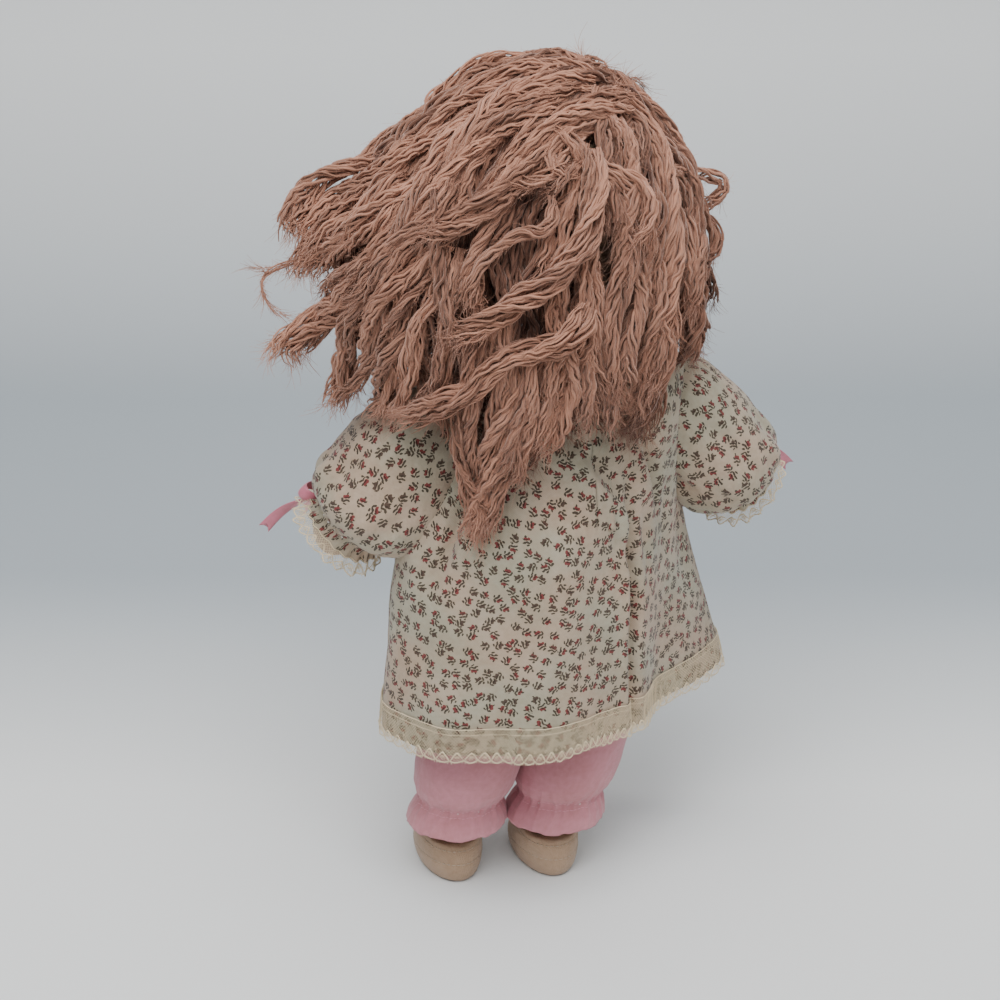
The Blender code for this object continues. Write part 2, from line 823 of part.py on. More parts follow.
def dress_volume(name, cutters):
    """The space inside the dress, which a sleeve is cut back to."""
    rings = []
    for share in DRESS_ROW_SHARES:
        rings.append(dress_ring(share, 0, 2 * pi, CLOTH_RING, GAP)[:-1])
    return as_cutter(loft(name, rings, cutters, None))


def back_volume(name, ahead, cutters):
    """All that lies behind the two side seams, moved ahead by a clearance."""
    rings = []
    seam = pi / CLOTH_RING
    for share in DRESS_ROW_SHARES:
        left = dress_point(seam, share, OVERRUN)
        right = dress_point(pi + seam, share, OVERRUN)
        if share == DRESS_ROW_SHARES[0]:
            left.z = right.z = HEM_HEIGHT - OVERRUN
        if share == DRESS_ROW_SHARES[-1]:
            left.z = right.z = NECKLINE_HEIGHT + OVERRUN
        for point in (left, right):
            point.y -= ahead
        far = Vector((0, HEM_DEPTH, 0))
        rings.append([left, left + far, right + far, right])
    return as_cutter(loft(name, rings, cutters, None))


def armhole(side, word, cutters):
    """A round cutter along the upper arm, through the side of the dress."""
    shoulder = shoulder_place(side)
    way = (arm_point(side, ELBOW) - shoulder).normalized()
    start = shoulder + way * (ARM_RADIUS / 4)
    end = shoulder + way * (HEM_WIDTH / 3)
    return as_cutter(bar("armhole_" + word, start, end, ARMHOLE_RADIUS, cutters))


def make_dress(parts, cutters):
    """Two panels, front and back, that meet at the side seams."""
    holes = [armhole(side, word, cutters) for side, word in ((1, "left"), (-1, "right"))]
    spans = (("dress_back", "INTERSECT", -GAP / 2), ("dress_front", "DIFFERENCE", GAP / 2))
    for name, operation, ahead in spans:
        rows = []
        for share in DRESS_ROW_SHARES:
            rows.append(dress_ring(share, 0, 2 * pi, CLOTH_RING)[:-1])
        panel = sheet(name, rows, parts, calico(), CLOTH)
        boolean(panel, back_volume("behind_" + name, ahead, cutters), operation)
        for hole in holes:
            boolean(panel, hole, "DIFFERENCE")
        if name == "dress_back":
            boolean(panel, slit_cutter(cutters), "DIFFERENCE")


def slit_place(share, depth):
    """A point on the line of the back opening, sunk in from the cloth's outside."""
    return dress_point(SLIT_ANGLE, share, -depth)


def slit_cutter(cutters):
    top = slit_place(1.0, 0)
    low = Vector((top.x - SLIT_WIDTH / 2, AXIS_Y, NECKLINE_HEIGHT - SLIT_LENGTH))
    high = Vector((top.x + SLIT_WIDTH / 2, AXIS_Y + HEM_DEPTH, NECKLINE_HEIGHT + OVERRUN))
    return as_cutter(block("back_opening", low, high, cutters))


def placket_depth():
    return CLOTH + SNAP_THICK * 2 + GAP * 5


def slit_outward(share):
    """The way out of the cloth on the line of the back opening."""
    step = 0.02
    along = dress_point(SLIT_ANGLE + step, share) - dress_point(SLIT_ANGLE - step, share)
    up = dress_point(SLIT_ANGLE, share + step) - dress_point(SLIT_ANGLE, share - step)
    return along.cross(up).normalized()


def make_back_closing(parts):
    """The strip under the back opening and the snap that holds the opening shut."""
    half = PLACKET_WIDTH / HEM_DEPTH
    low_share = 1 - SLIT_LENGTH * PLACKET_SHARE / DRESS_TALL
    rows = []
    for k in range(9):
        share = mixed(low_share, 0.93, k / 8)
        rows.append(dress_ring(share, SLIT_ANGLE - half, SLIT_ANGLE + half, 4, -placket_depth()))
    sheet("back_placket", rows, parts, calico(), CLOTH, closed=False)
    place_share = 0.80
    out = slit_outward(place_share)
    for index, name in enumerate(("back_snap_socket", "back_snap_stud")):
        depth = CLOTH + GAP * 2 + (SNAP_THICK + GAP) * index
        start = slit_place(place_share, 0) - out * depth
        bar(name, start, start - out * SNAP_THICK, SNAP_RADIUS, parts, snap_metal(), RING)


def make_lace(parts):
    """The gathered lace round the hem and the narrow lace at the neck."""
    rows = []
    count = SCALLOPS * 2
    above = (HEM_LACE_TALL - HEM_LACE_PROUD) / DRESS_TALL
    for share in (-HEM_LACE_PROUD / DRESS_TALL, 0.0, above):
        ring = []
        for k in range(count):
            angle = 2 * pi * k / count
            point = dress_point(angle, max(share, 0.0), GAP * 2 + LACE)
            if share < 0:
                point.z = HEM_HEIGHT - HEM_LACE_PROUD - SCALLOP_DEPTH * (k % 2)
            ring.append(point)
        rows.append(ring)
    sheet("hem_lace", rows, parts, lace_thread(), LACE)
    rows = []
    for share in (0.0, 0.5, 1.0):
        height = NECKLINE_HEIGHT + GAP * 2 + NECK_LACE_TALL * share
        ring = dress_ring(1.0, 0, 2 * pi, PUFF_RING, NECK_LACE_TALL * share / 3)[:-1]
        for point in ring:
            point.z = height
        rows.append(ring)
    sheet("neck_lace", rows, parts, lace_thread(), LACE)


def make_neck_elastic(parts):
    """The elastic that draws the neckline in, just under the gathered edge."""
    wide, front = BODICE_SHARES[-1][1:3]
    radius = HEM_WIDTH / 2 * wide + ELASTIC_RADIUS / 2
    stretch = (HEM_DEPTH / 2 * front - ELASTIC_RADIUS / 2) / radius
    centre = at(0, BODY_BACK, NECKLINE_HEIGHT - CLOTH - GAP * 1.5 - ELASTIC_RADIUS)
    torus("neck_elastic", centre, Vector((0, 0, 1)), radius, ELASTIC_RADIUS, parts, rubber(), stretch)


# Sleeves

# Each row: share from the start to the cuff's edge, radius share between start and full puff
SLEEVE_SHARES = (
    (0.00, 0.00),
    (0.12, 0.45),
    (0.30, 0.90),
    (0.50, 1.00),
    (0.68, 0.85),
    (0.80, 0.35),
)
CUFF_SHARE = 0.90        # where the cuff's elastic draws the sleeve in
CUFF_EASE_SHARE = 0.045  # how far the drawn-in stretch runs to each side
SLEEVE_END_SHARE = 0.535  # the cuff's edge along the arm's whole path
START_RIPPLE_SHARE = 0.03  # how deep the gathers ripple, as shares of the radius
EDGE_RIPPLE_SHARE = 0.05
LACE_FLARE_SHARE = 1.18  # the cuff lace's free edge against its sewn edge


def sleeve_share(share):
    """The share of the arm's path at a share of the sleeve."""
    start = SLEEVE_START / (SHOULDER_HEIGHT - HIP_HEIGHT) / 2
    return mixed(start, SLEEVE_END_SHARE, share)


def cuff_radius():
    return ARM_RADIUS * WRIST_SHARE + ELASTIC_RADIUS * 2 + CLOTH + GAP * 6


def waved_ring(side, centre, way, radius, wave):
    """A ring round the sleeve whose radius ripples by a share of itself."""
    ring = turned_ring(centre, way, radius, radius, PUFF_RING, Vector((side, 0, 0.5)))
    shaped = []
    for k, point in enumerate(ring):
        swell = 1 + wave * cos(SLEEVE_FOLDS * 2 * pi * k / PUFF_RING)
        shaped.append(centre + (point - centre) * swell)
    return shaped


def sleeve_ring(side, share, radius, wave):
    path = arm_path(side)
    place = sleeve_share(share)
    return waved_ring(side, spline(path, place), spline_way(path, place), radius, wave)


def make_sleeve(side, word, parts, volume, empty):
    rings = []
    for share, puff in SLEEVE_SHARES:
        radius = mixed(SLEEVE_START_RADIUS, SLEEVE_RADIUS, puff)
        rings.append(sleeve_ring(side, share, radius, START_RIPPLE_SHARE * (1 - puff)))
    for share in (CUFF_SHARE - CUFF_EASE_SHARE, CUFF_SHARE + CUFF_EASE_SHARE):
        rings.append(sleeve_ring(side, share, cuff_radius(), 0.0))
    rings.append(sleeve_ring(side, 1.0, CUFF_FLARE, EDGE_RIPPLE_SHARE))
    sleeve = sheet("sleeve_" + word, rings, parts, calico(), CLOTH)
    boolean(sleeve, volume, "DIFFERENCE")
    hang(sleeve, empty)


def make_cuff(side, word, parts, empty):
    """The elastic in the cuff and the lace on its edge."""
    path = arm_path(side)
    place = sleeve_share(CUFF_SHARE)
    centre, way = spline(path, place), spline_way(path, place)
    radius = cuff_radius() - CLOTH - GAP * 3 - ELASTIC_RADIUS
    ring = torus("cuff_elastic_" + word, centre, way, radius, ELASTIC_RADIUS, parts, rubber())
    hang(ring, empty)
    edge = sleeve_share(1.0)
    out = spline_way(path, edge)
    start = spline(path, edge) + out * (CLOTH + GAP)
    rows = []
    for share in (0.0, 1.0):
        middle = start + out * (CUFF_LACE_WIDE * share)
        radius = CUFF_FLARE * mixed(1.0, LACE_FLARE_SHARE, share)
        rows.append(waved_ring(side, middle, out, radius, EDGE_RIPPLE_SHARE))
    lace = sheet("cuff_lace_" + word, rows, parts, lace_thread(), LACE)
    hang(lace, empty)


def strap(name, points, side, group, closed=False):
    """A flat ribbon along points, its width towards side. A closed one is a loop."""
    rings = []
    count = len(points)
    for k, point in enumerate(points):
        ahead = points[(k + 1) % count if closed else min(k + 1, count - 1)]
        behind = points[k - 1 if closed else max(k - 1, 0)]
        way = (ahead - behind).normalized()
        across = (side - way * side.dot(way)).normalized() * (RIBBON_WIDE / 2)
        up = way.cross(across).normalized() * (RIBBON / 2)
        rings.append([point + across + up, point - across + up, point - across - up, point + across - up])
    if not closed:
        return loft(name, rings, group, None)
    bm = bmesh.new()
    rows = stacked(bm, rings)
    for k in range(4):
        after = (k + 1) % 4
        bm.faces.new((rows[-1][k], rows[-1][after], rows[0][after], rows[0][k]))
    return finish_mesh(name, bm, group, None)


def make_bow(side, word, parts, cutters, empty):
    """A ribbon tied in a bow on the front and outer side of the cuff."""
    path = arm_path(side)
    place = sleeve_share(CUFF_SHARE)
    centre, way = spline(path, place), spline_way(path, place)
    outward = Vector((side * 0.58, -0.44, 0.68))
    outward = (outward - way * outward.dot(way)).normalized()
    sideways = way.cross(outward).normalized() * side
    knot = centre + outward * (CUFF_FLARE + KNOT_RADIUS + GAP * 3)
    bow = ball("cuff_bow_" + word, knot, KNOT_RADIUS, parts, satin(), BOW_SEGMENTS)
    for turn, label in ((1, "front"), (-1, "back")):
        reaching = (sideways * (turn * 0.88) + outward * 0.47).normalized()
        lifting = reaching.cross(way)
        loop_points = []
        for k in range(BOW_SEGMENTS):
            angle = 2 * pi * k / BOW_SEGMENTS
            reach = KNOT_RADIUS * 0.55 + BOW_LOOP * (1 - cos(angle)) / 2
            loop_points.append(knot + reaching * reach + lifting * (BOW_LOOP * 0.3 * sin(angle)))
        loop = as_cutter(strap("bow_loop_%s_%s" % (label, word), loop_points, way, cutters, closed=True))
        tail_start = knot + (way + sideways * turn) * (KNOT_RADIUS / 5) + outward * (turn * RIBBON * 1.3)
        tail_points = []
        for k in range(BOW_SEGMENTS // 2):
            run = BOW_TAIL * k / (BOW_SEGMENTS // 2 - 1) * (0.8 if turn > 0 else 1.0)
            tail_points.append(tail_start + way * (run * 0.75) + outward * (run * 0.5)
                               + sideways * (turn * run * 0.3))
        tail = as_cutter(strap("bow_tail_%s_%s" % (label, word), tail_points, sideways, cutters))
        for piece in (loop, tail):
            boolean(bow, piece, "UNION")
            hang(piece, empty)
    hang(bow, empty)


# Bloomers

# Each row: share of the seat's height, size share. The last row but one is drawn in by elastic.
SEAT_SHARES = (
    (0.00, 1.000),
    (0.35, 1.040),
    (0.70, 1.000),
    (0.88, 0.930),
    (0.94, 0.905),
    (1.00, 0.950),
)


def make_bloomer_seat(parts):
    low = HIP_HEIGHT - HIP_ROLL + GAP
    rows = []
    for share, size in SEAT_SHARES:
        height = mixed(low, WAIST_HEIGHT, share)
        half_width = SEAT_WIDTH / 2 * size
        half_depth = SEAT_DEPTH / 2 * size
        rows.append(oval(at(0, BODY_BACK, height), half_width, half_depth, PUFF_RING))
    sheet("bloomers_seat", rows, parts, bloomer_cotton(), CLOTH)
    waist_share, drawn_in = SEAT_SHARES[-2]
    waist = mixed(low, WAIST_HEIGHT, waist_share)
    inner_width = SEAT_WIDTH / 2 * drawn_in - CLOTH - GAP * 2 - ELASTIC_RADIUS
    inner_depth = SEAT_DEPTH / 2 * drawn_in - CLOTH - GAP * 2 - ELASTIC_RADIUS
    centre = at(0, BODY_BACK, waist)
    stretch = inner_depth / inner_width
    torus("waist_elastic", centre, Vector((0, 0, 1)), inner_width, ELASTIC_RADIUS, parts, rubber(), stretch)


# Each row: share from the ruffle's edge up to the hip, radius share between gather and full width
BLOOMER_SHARES = (
    (0.230, 0.55),
    (0.400, 1.00),
    (0.620, 1.04),
    (0.850, 0.98),
    (1.000, 0.93),
)


def gather_radius():
    return ANKLE_RADIUS + GAP * 5 + ELASTIC_RADIUS * 2 + CLOTH


def make_bloomer_leg(side, word, parts, empty):
    top = HIP_HEIGHT - HIP_ROLL - GAP
    gather = gather_radius()
    rows = []
    edges = ((RUFFLE_HEIGHT, RUFFLE_RADIUS, RUFFLE_WAVE), (mixed(RUFFLE_HEIGHT, CUFF_GATHER_HEIGHT, 0.55),
             mixed(RUFFLE_RADIUS, gather, 0.5), RUFFLE_WAVE / 2), (CUFF_GATHER_HEIGHT, gather, 0.0))
    for height, radius, wave in edges:
        centre = leg_centre(side, height)
        ring = []
        for k in range(LEG_CLOTH_RING):
            angle = 2 * pi * k / LEG_CLOTH_RING
            reach = radius + wave * cos(RUFFLES * angle)
            ring.append(centre + Vector((reach * cos(angle), reach * sin(angle), 0)))
        rows.append(ring)
    for share, puff in BLOOMER_SHARES:
        height = mixed(RUFFLE_HEIGHT, top, share)
        radius = mixed(gather, LEG_CLOTH_RADIUS, puff)
        rows.append(oval(leg_centre(side, height), radius, radius * 1.08, LEG_CLOTH_RING))
    cloth = sheet("bloomer_leg_" + word, rows, parts, bloomer_cotton(), CLOTH)
    hang(cloth, empty)
    centre = leg_centre(side, CUFF_GATHER_HEIGHT)
    radius = ANKLE_RADIUS + GAP * 2 + ELASTIC_RADIUS
    ring = torus("ankle_elastic_" + word, centre, Vector((0, 0, 1)), radius, ELASTIC_RADIUS, parts, rubber())
    hang(ring, empty)


# Hair

# Each lock group: name, first and last angle round the head, its tip's height above the chin as
# a share of the head's height, and its taper towards the tip
HAIR_GROUPS = (
    ("hair_left", -34, 20, -0.078, 0.75),
    ("hair_back_left", 20, 50, -0.289, 0.70),
    ("hair_long_lock", 50, 74, -0.833, 0.16),
    ("hair_back", 74, 112, -0.422, 0.60),
    ("hair_back_right", 112, 150, -0.344, 0.55),
    ("hair_right", 150, 206, -0.111, 0.60),
    ("hair_fringe", 206, 326, 0.556, 0.85),
)
HAIR_POLAR_STEPS = (10, 28, 46, 64, 82, 96)


def hair_spread(angle):
    """How far the hair stands off the head in a direction."""
    back, side = max(sin(angle), 0.0), cos(angle)
    spread = HAIR_FRONT + (HAIR_BACK - HAIR_FRONT) * back
    if side > 0:
        return mixed(spread, HAIR_LEFT, side ** 1.5)
    return mixed(spread, HAIR_RIGHT, (-side) ** 1.5)


def head_middle():
    return at(HEAD_X, HEAD_Y, HEAD_BOTTOM + HEAD_TALL / 2)


def hair_on_head(angle, polar, outer):
    """A point of the hair over the head, on its inside or its outside."""
    loosens, clear = radians(60), radians(96)
    if outer:
        flare = (polar / clear) ** HAIR_FLARE_POWER
        off = mixed(HAIR_THICK, hair_spread(angle), flare) + HAIR_RIPPLE * cos(angle * 14)
    else:
        off = -HAIR_THICK / 3
        if polar > loosens:
            away = hair_spread(angle) - HAIR_THICK - off
            off += max(0.0, away) * (polar - loosens) / (clear - loosens)
    x = (HEAD_WIDTH / 2 + off) * sin(polar) * cos(angle)
    y = (HEAD_DEPTH / 2 + off) * sin(polar) * sin(angle)
    z = (HEAD_TALL / 2 + (HAIR_THICK if outer else -HAIR_THICK / 3)) * cos(polar)
    return head_middle() + Vector((x, y, z))


def hair_section(first, last, polar):
    steps = 5
    outside = [hair_on_head(mixed(first, last, k / steps), polar, True) for k in range(steps + 1)]
    inside = [hair_on_head(mixed(first, last, k / steps), polar, False) for k in range(steps + 1)]
    return outside + list(reversed(inside))


def make_hair(parts, skin, empty):
    for name, first_deg, last_deg, tip_share, taper in HAIR_GROUPS:
        slack = radians(0.8)
        first, last = radians(first_deg) + slack, radians(last_deg) - slack
        steps = HAIR_POLAR_STEPS
        if name == "hair_fringe":
            steps = steps[:4]
        rings = [hair_section(first, last, radians(polar)) for polar in steps]
        base = rings[-1]
        base_height = sum((p.z for p in base), 0.0) / len(base)
        middle = sum(base, Vector()) / len(base)
        tip = HEAD_BOTTOM + HEAD_TALL * tip_share
        for k in range(1, 4):
            share = k / 3
            size = mixed(1.0, taper, share ** 1.5)
            drop = (base_height - tip) * share
            ring = []
            for point in base:
                moved = middle + (point - middle) * size
                moved.z = point.z - drop
                ring.append(moved)
            rings.append(ring)
        hank = loft(name, rings, parts, yarn())
        boolean(hank, skin, "DIFFERENCE")
        hang(hank, empty)


def make_part_tape(parts, skin, empty):
    """The stitched tape under the hair, over the top of the head from front to back."""
    middle = head_middle()
    points = []
    for k in range(9):
        angle = mixed(radians(52), radians(128), k / 8)
        points.append(middle + Vector((0, HEAD_DEPTH / 2 * cos(angle), HEAD_TALL / 2 * sin(angle))))
    rings = []
    for k, point in enumerate(points):
        outward = (point - middle).normalized()
        across = Vector((PART_TAPE_WIDE / 2, 0, 0))
        up = outward * (PART_TAPE_THICK / 2)
        rings.append([point + across + up, point - across + up, point - across - up, point + across - up])
    tape = loft("hair_part_tape", rings, parts, muslin())
    boolean(tape, skin, "DIFFERENCE")
    hang(tape, empty)


def main():
    clear_scene()
    parts = new_collection("rag_doll")
    cutters = new_collection("cutters")

    neck_turn = pivot("neck_turn_axis", neck_place())
    head_nod = pivot("head_nod_axis", neck_place())
    make_torso(parts, cutters)
    make_neck(parts, neck_turn)
    make_head(parts, cutters, head_nod)
    skin = head_skin("face_skin", GAP, cutters, head_nod)
    make_face(parts, skin, head_nod)
    make_part_tape(parts, skin, head_nod)
    hair_skin = head_skin("hair_skin", PART_TAPE_THICK + GAP * 2, cutters, head_nod)
    make_hair(parts, hair_skin, head_nod)

    make_dress(parts, cutters)
    make_back_closing(parts)
    make_lace(parts)
    make_neck_elastic(parts)
    make_bloomer_seat(parts)

    for side, word in ((1, "left"), (-1, "right")):
        shoulder = pivot("shoulder_axis_" + word, shoulder_place(side))
        make_arm(side, word, parts, cutters, shoulder)
        volume = dress_volume("dress_volume_" + word, cutters)
        make_sleeve(side, word, parts, volume, shoulder)
        make_cuff(side, word, parts, shoulder)
        make_bow(side, word, parts, cutters, shoulder)
        hip = pivot("hip_axis_" + word, hip_place(side))
        make_leg(side, word, parts, cutters, hip)
        make_foot(side, word, parts, cutters, hip)
        make_bloomer_leg(side, word, parts, hip)


main()
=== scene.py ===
"""Looks for the standing rag doll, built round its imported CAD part. Metres, +Z up, the doll faces -Y."""
import json
from math import cos, pi, radians, sin

import bmesh
import bpy
import numpy as np
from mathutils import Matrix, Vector, noise
from mathutils.bvhtree import BVHTree


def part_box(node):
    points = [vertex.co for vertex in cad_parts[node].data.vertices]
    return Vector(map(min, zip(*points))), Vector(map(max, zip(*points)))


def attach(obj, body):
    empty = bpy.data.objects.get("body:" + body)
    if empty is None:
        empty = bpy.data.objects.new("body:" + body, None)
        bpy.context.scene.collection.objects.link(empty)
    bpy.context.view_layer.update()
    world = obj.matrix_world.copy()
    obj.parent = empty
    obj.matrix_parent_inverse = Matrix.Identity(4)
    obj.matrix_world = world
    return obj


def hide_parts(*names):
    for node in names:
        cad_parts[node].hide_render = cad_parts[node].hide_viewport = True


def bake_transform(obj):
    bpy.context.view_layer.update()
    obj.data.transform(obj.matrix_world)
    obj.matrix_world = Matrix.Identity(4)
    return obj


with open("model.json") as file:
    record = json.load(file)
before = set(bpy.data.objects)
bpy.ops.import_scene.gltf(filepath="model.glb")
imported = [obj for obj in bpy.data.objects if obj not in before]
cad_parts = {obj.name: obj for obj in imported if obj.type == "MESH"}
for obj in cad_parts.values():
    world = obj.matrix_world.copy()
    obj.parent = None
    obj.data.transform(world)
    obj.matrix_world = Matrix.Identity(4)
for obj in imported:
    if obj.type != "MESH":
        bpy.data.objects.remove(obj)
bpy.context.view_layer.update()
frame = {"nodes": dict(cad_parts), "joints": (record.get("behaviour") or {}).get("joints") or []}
chance = np.random.default_rng(7)
MM = 0.001

# Camera, as the photograph was taken
CAMERA_AWAY = 0.842
CAMERA_TURN = radians(163)
CAMERA_RISE = radians(23)
CAMERA_LENS = 75.2
SENSOR = 36.0
AIM = Vector((0.024, -0.0042, 0.1721))
PICTURE = 1000

# Sizes of the cloth and threads
COTTON = 0.35 * MM
SATIN = 0.3 * MM
LACE_THREAD = 0.17 * MM
SEWING_THREAD = 0.16 * MM
YARN_RADIUS = 2.5 * MM
YARN_PITCH = 36 * MM
YARN_STEP = 1.6 * MM
PLIES = 15
PLY_SHARE = 0.23
PLY_SIDES = 4
PLY_DRIFT = 0.75 * MM
DRIFT_LENGTH = 28 * MM
KINK = 0.42 * MM
KINK_LENGTH = 6.5 * MM
WISP_RADIUS = 0.9 * MM
WISPS = 40
FUZZ_RADIUS = 0.07 * MM
FUZZ_EVERY = 0.3 * MM
UNDER_FUZZ_EVERY = 1.6 * MM
LOCK_SPREAD = (0.0, 0.85, 1.05, 1.3, 1.5)
# Spans that each strand's tone is drawn from at random: the first for the top locks, the second darker one
# for the layers below, which is painted shade
PALE_TONES = (0.35, 1.0)
SHADED_UNDER_TONES = (0.0, 0.5)

SIDES = ((1, "left"), (-1, "right"))


# Places taken from the frame


def box_middle(node):
    low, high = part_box(node)
    return (Vector(low) + Vector(high)) / 2


def joint_place(name):
    for joint in frame["joints"]:
        if joint["name"] == name:
            return Vector(joint["pos_m"])
    raise ValueError(name)


def solid_tree(*nodes):
    """The CAD solids of some nodes as one surface to measure against."""
    points, faces = [], []
    for node in nodes:
        item = frame["nodes"][node]
        base = len(points)
        points.extend(item.matrix_world @ v.co for v in item.data.vertices)
        faces.extend([base + k for k in face.vertices] for face in item.data.polygons)
    return BVHTree.FromPolygons(points, faces)


def reach(tree, centre, way, far=0.15):
    """How far the outside of a solid lies from a centre, in a direction. None where it is open."""
    way = way.normalized()
    hit = tree.ray_cast(centre + way * far, -way, far)
    return far - hit[3] if hit[0] is not None else None


def fill_row(row, least):
    """Fills the missing reaches of a closed row from the ones beside them."""
    values = np.array([np.nan if r is None or r < least else r for r in row], dtype=float)
    known = np.flatnonzero(~np.isnan(values))
    count = len(values)
    around = np.concatenate([known - count, known, known + count])
    return np.interp(np.arange(count), around, np.tile(values[known], 3))


# Meshes


def make_object(name, points, quads, look, smooth=True):
    points = np.asarray(points, dtype=np.float32).reshape(-1, 3)
    quads = np.asarray(quads, dtype=np.int32).reshape(-1, 4)
    mesh = bpy.data.meshes.new(name)
    mesh.vertices.add(len(points))
    mesh.vertices.foreach_set("co", points.ravel())
    mesh.loops.add(quads.size)
    mesh.loops.foreach_set("vertex_index", quads.ravel())
    mesh.polygons.add(len(quads))
    mesh.polygons.foreach_set("loop_start", np.arange(0, quads.size, 4, dtype=np.int32))
    mesh.update(calc_edges=True)
    if smooth:
        mesh.shade_smooth()
    item = bpy.data.objects.new(name, mesh)
    bpy.context.scene.collection.objects.link(item)
    if look:
        mesh.materials.append(look)
    return item


def point_values(item, name, values):
    """Stores a number, or a place of three numbers, on each point for the material to read."""
    values = np.asarray(values, dtype=np.float32)
    kind = "FLOAT" if values.ndim == 1 else "FLOAT_VECTOR"
    layer = item.data.attributes.new(name, kind, "POINT")
    layer.data.foreach_set("value" if values.ndim == 1 else "vector", values.ravel())


def grid_quads(rows, columns, closed):
    """The quads of a grid of points stored row by row, closed round each row or open."""
    last = columns if closed else columns - 1
    row, column = np.meshgrid(np.arange(rows - 1), np.arange(last), indexing="ij")
    after = (column + 1) % columns
    low, high = row * columns, (row + 1) * columns
    return np.stack([low + column, low + after, high + after, high + column], axis=-1).reshape(-1, 4)


def cloth_grid(name, rows, look, closed=True, cloth=None, thick=COTTON, keep=None, inward=True):
    """A sheet through a grid of points, with its cloth places and a thickness."""
    rows = np.asarray(rows, dtype=float)
    quads = grid_quads(rows.shape[0], rows.shape[1], closed)
    if keep is not None:
        quads = quads[keep(rows.reshape(-1, 3)[quads].mean(axis=1))]
    item = make_object(name, rows, quads, look)
    if cloth is not None:
        point_values(item, "cloth", np.asarray(cloth).reshape(-1, 3))
    tidy_loose(item)
    if thick:
        wall = item.modifiers.new("cloth", "SOLIDIFY")
        wall.thickness = thick
        wall.offset = -1.0 if inward else 1.0
        apply_modifiers(item)
    return item


def tidy_loose(item):
    """Removes the points that no face uses."""
    bm = bmesh.new()
    bm.from_mesh(item.data)
    loose = [v for v in bm.verts if not v.link_faces]
    bmesh.ops.delete(bm, geom=loose, context="VERTS")
    bm.to_mesh(item.data)
    bm.free()


def apply_modifiers(item):
    graph = bpy.context.evaluated_depsgraph_get()
    made = bpy.data.meshes.new_from_object(item.evaluated_get(graph), depsgraph=graph)
    item.modifiers.clear()
    old = item.data
    item.data = made
    bpy.data.meshes.remove(old)
    made.shade_smooth()


def unit(rows):
    length = np.linalg.norm(rows, axis=-1, keepdims=True)
    return rows / np.maximum(length, 1e-12)


def smooth_path(points, step):
    """A smooth way through points, read again at an even step."""
    points = np.asarray(points, dtype=float)
    padded = np.vstack([points[0] * 2 - points[1], points, points[-1] * 2 - points[-2]])
    pieces = []
    share = np.linspace(0, 1, 14, endpoint=False)[:, None]
    for k in range(len(points) - 1):
        before, a, b, after = padded[k:k + 4]
        pieces.append((a * 2 + (b - before) * share + (before * 2 - a * 5 + b * 4 - after) * share ** 2
                       + (a * 3 - before - b * 3 + after) * share ** 3) / 2)
    dense = np.vstack(pieces + [points[-1:]])
    run = np.concatenate([[0], np.cumsum(np.linalg.norm(np.diff(dense, axis=0), axis=1))])
    count = max(int(round(run[-1] / step)), 3) + 1
    even = np.linspace(0, run[-1], count)
    return np.stack([np.interp(even, run, dense[:, k]) for k in range(3)], axis=1)


def path_frames(path):
    """The direction and two square directions at each point, carried along without a twist."""
    ahead = unit(np.gradient(path, axis=0))
    side = np.cross(ahead[0], (0.31, 0.47, 0.83))
    sides = []
    for way in ahead:
        side = side - way * np.dot(side, way)
        side = side / np.linalg.norm(side)
        sides.append(side)
    sides = np.array(sides)
    return ahead, sides, np.cross(ahead, sides)


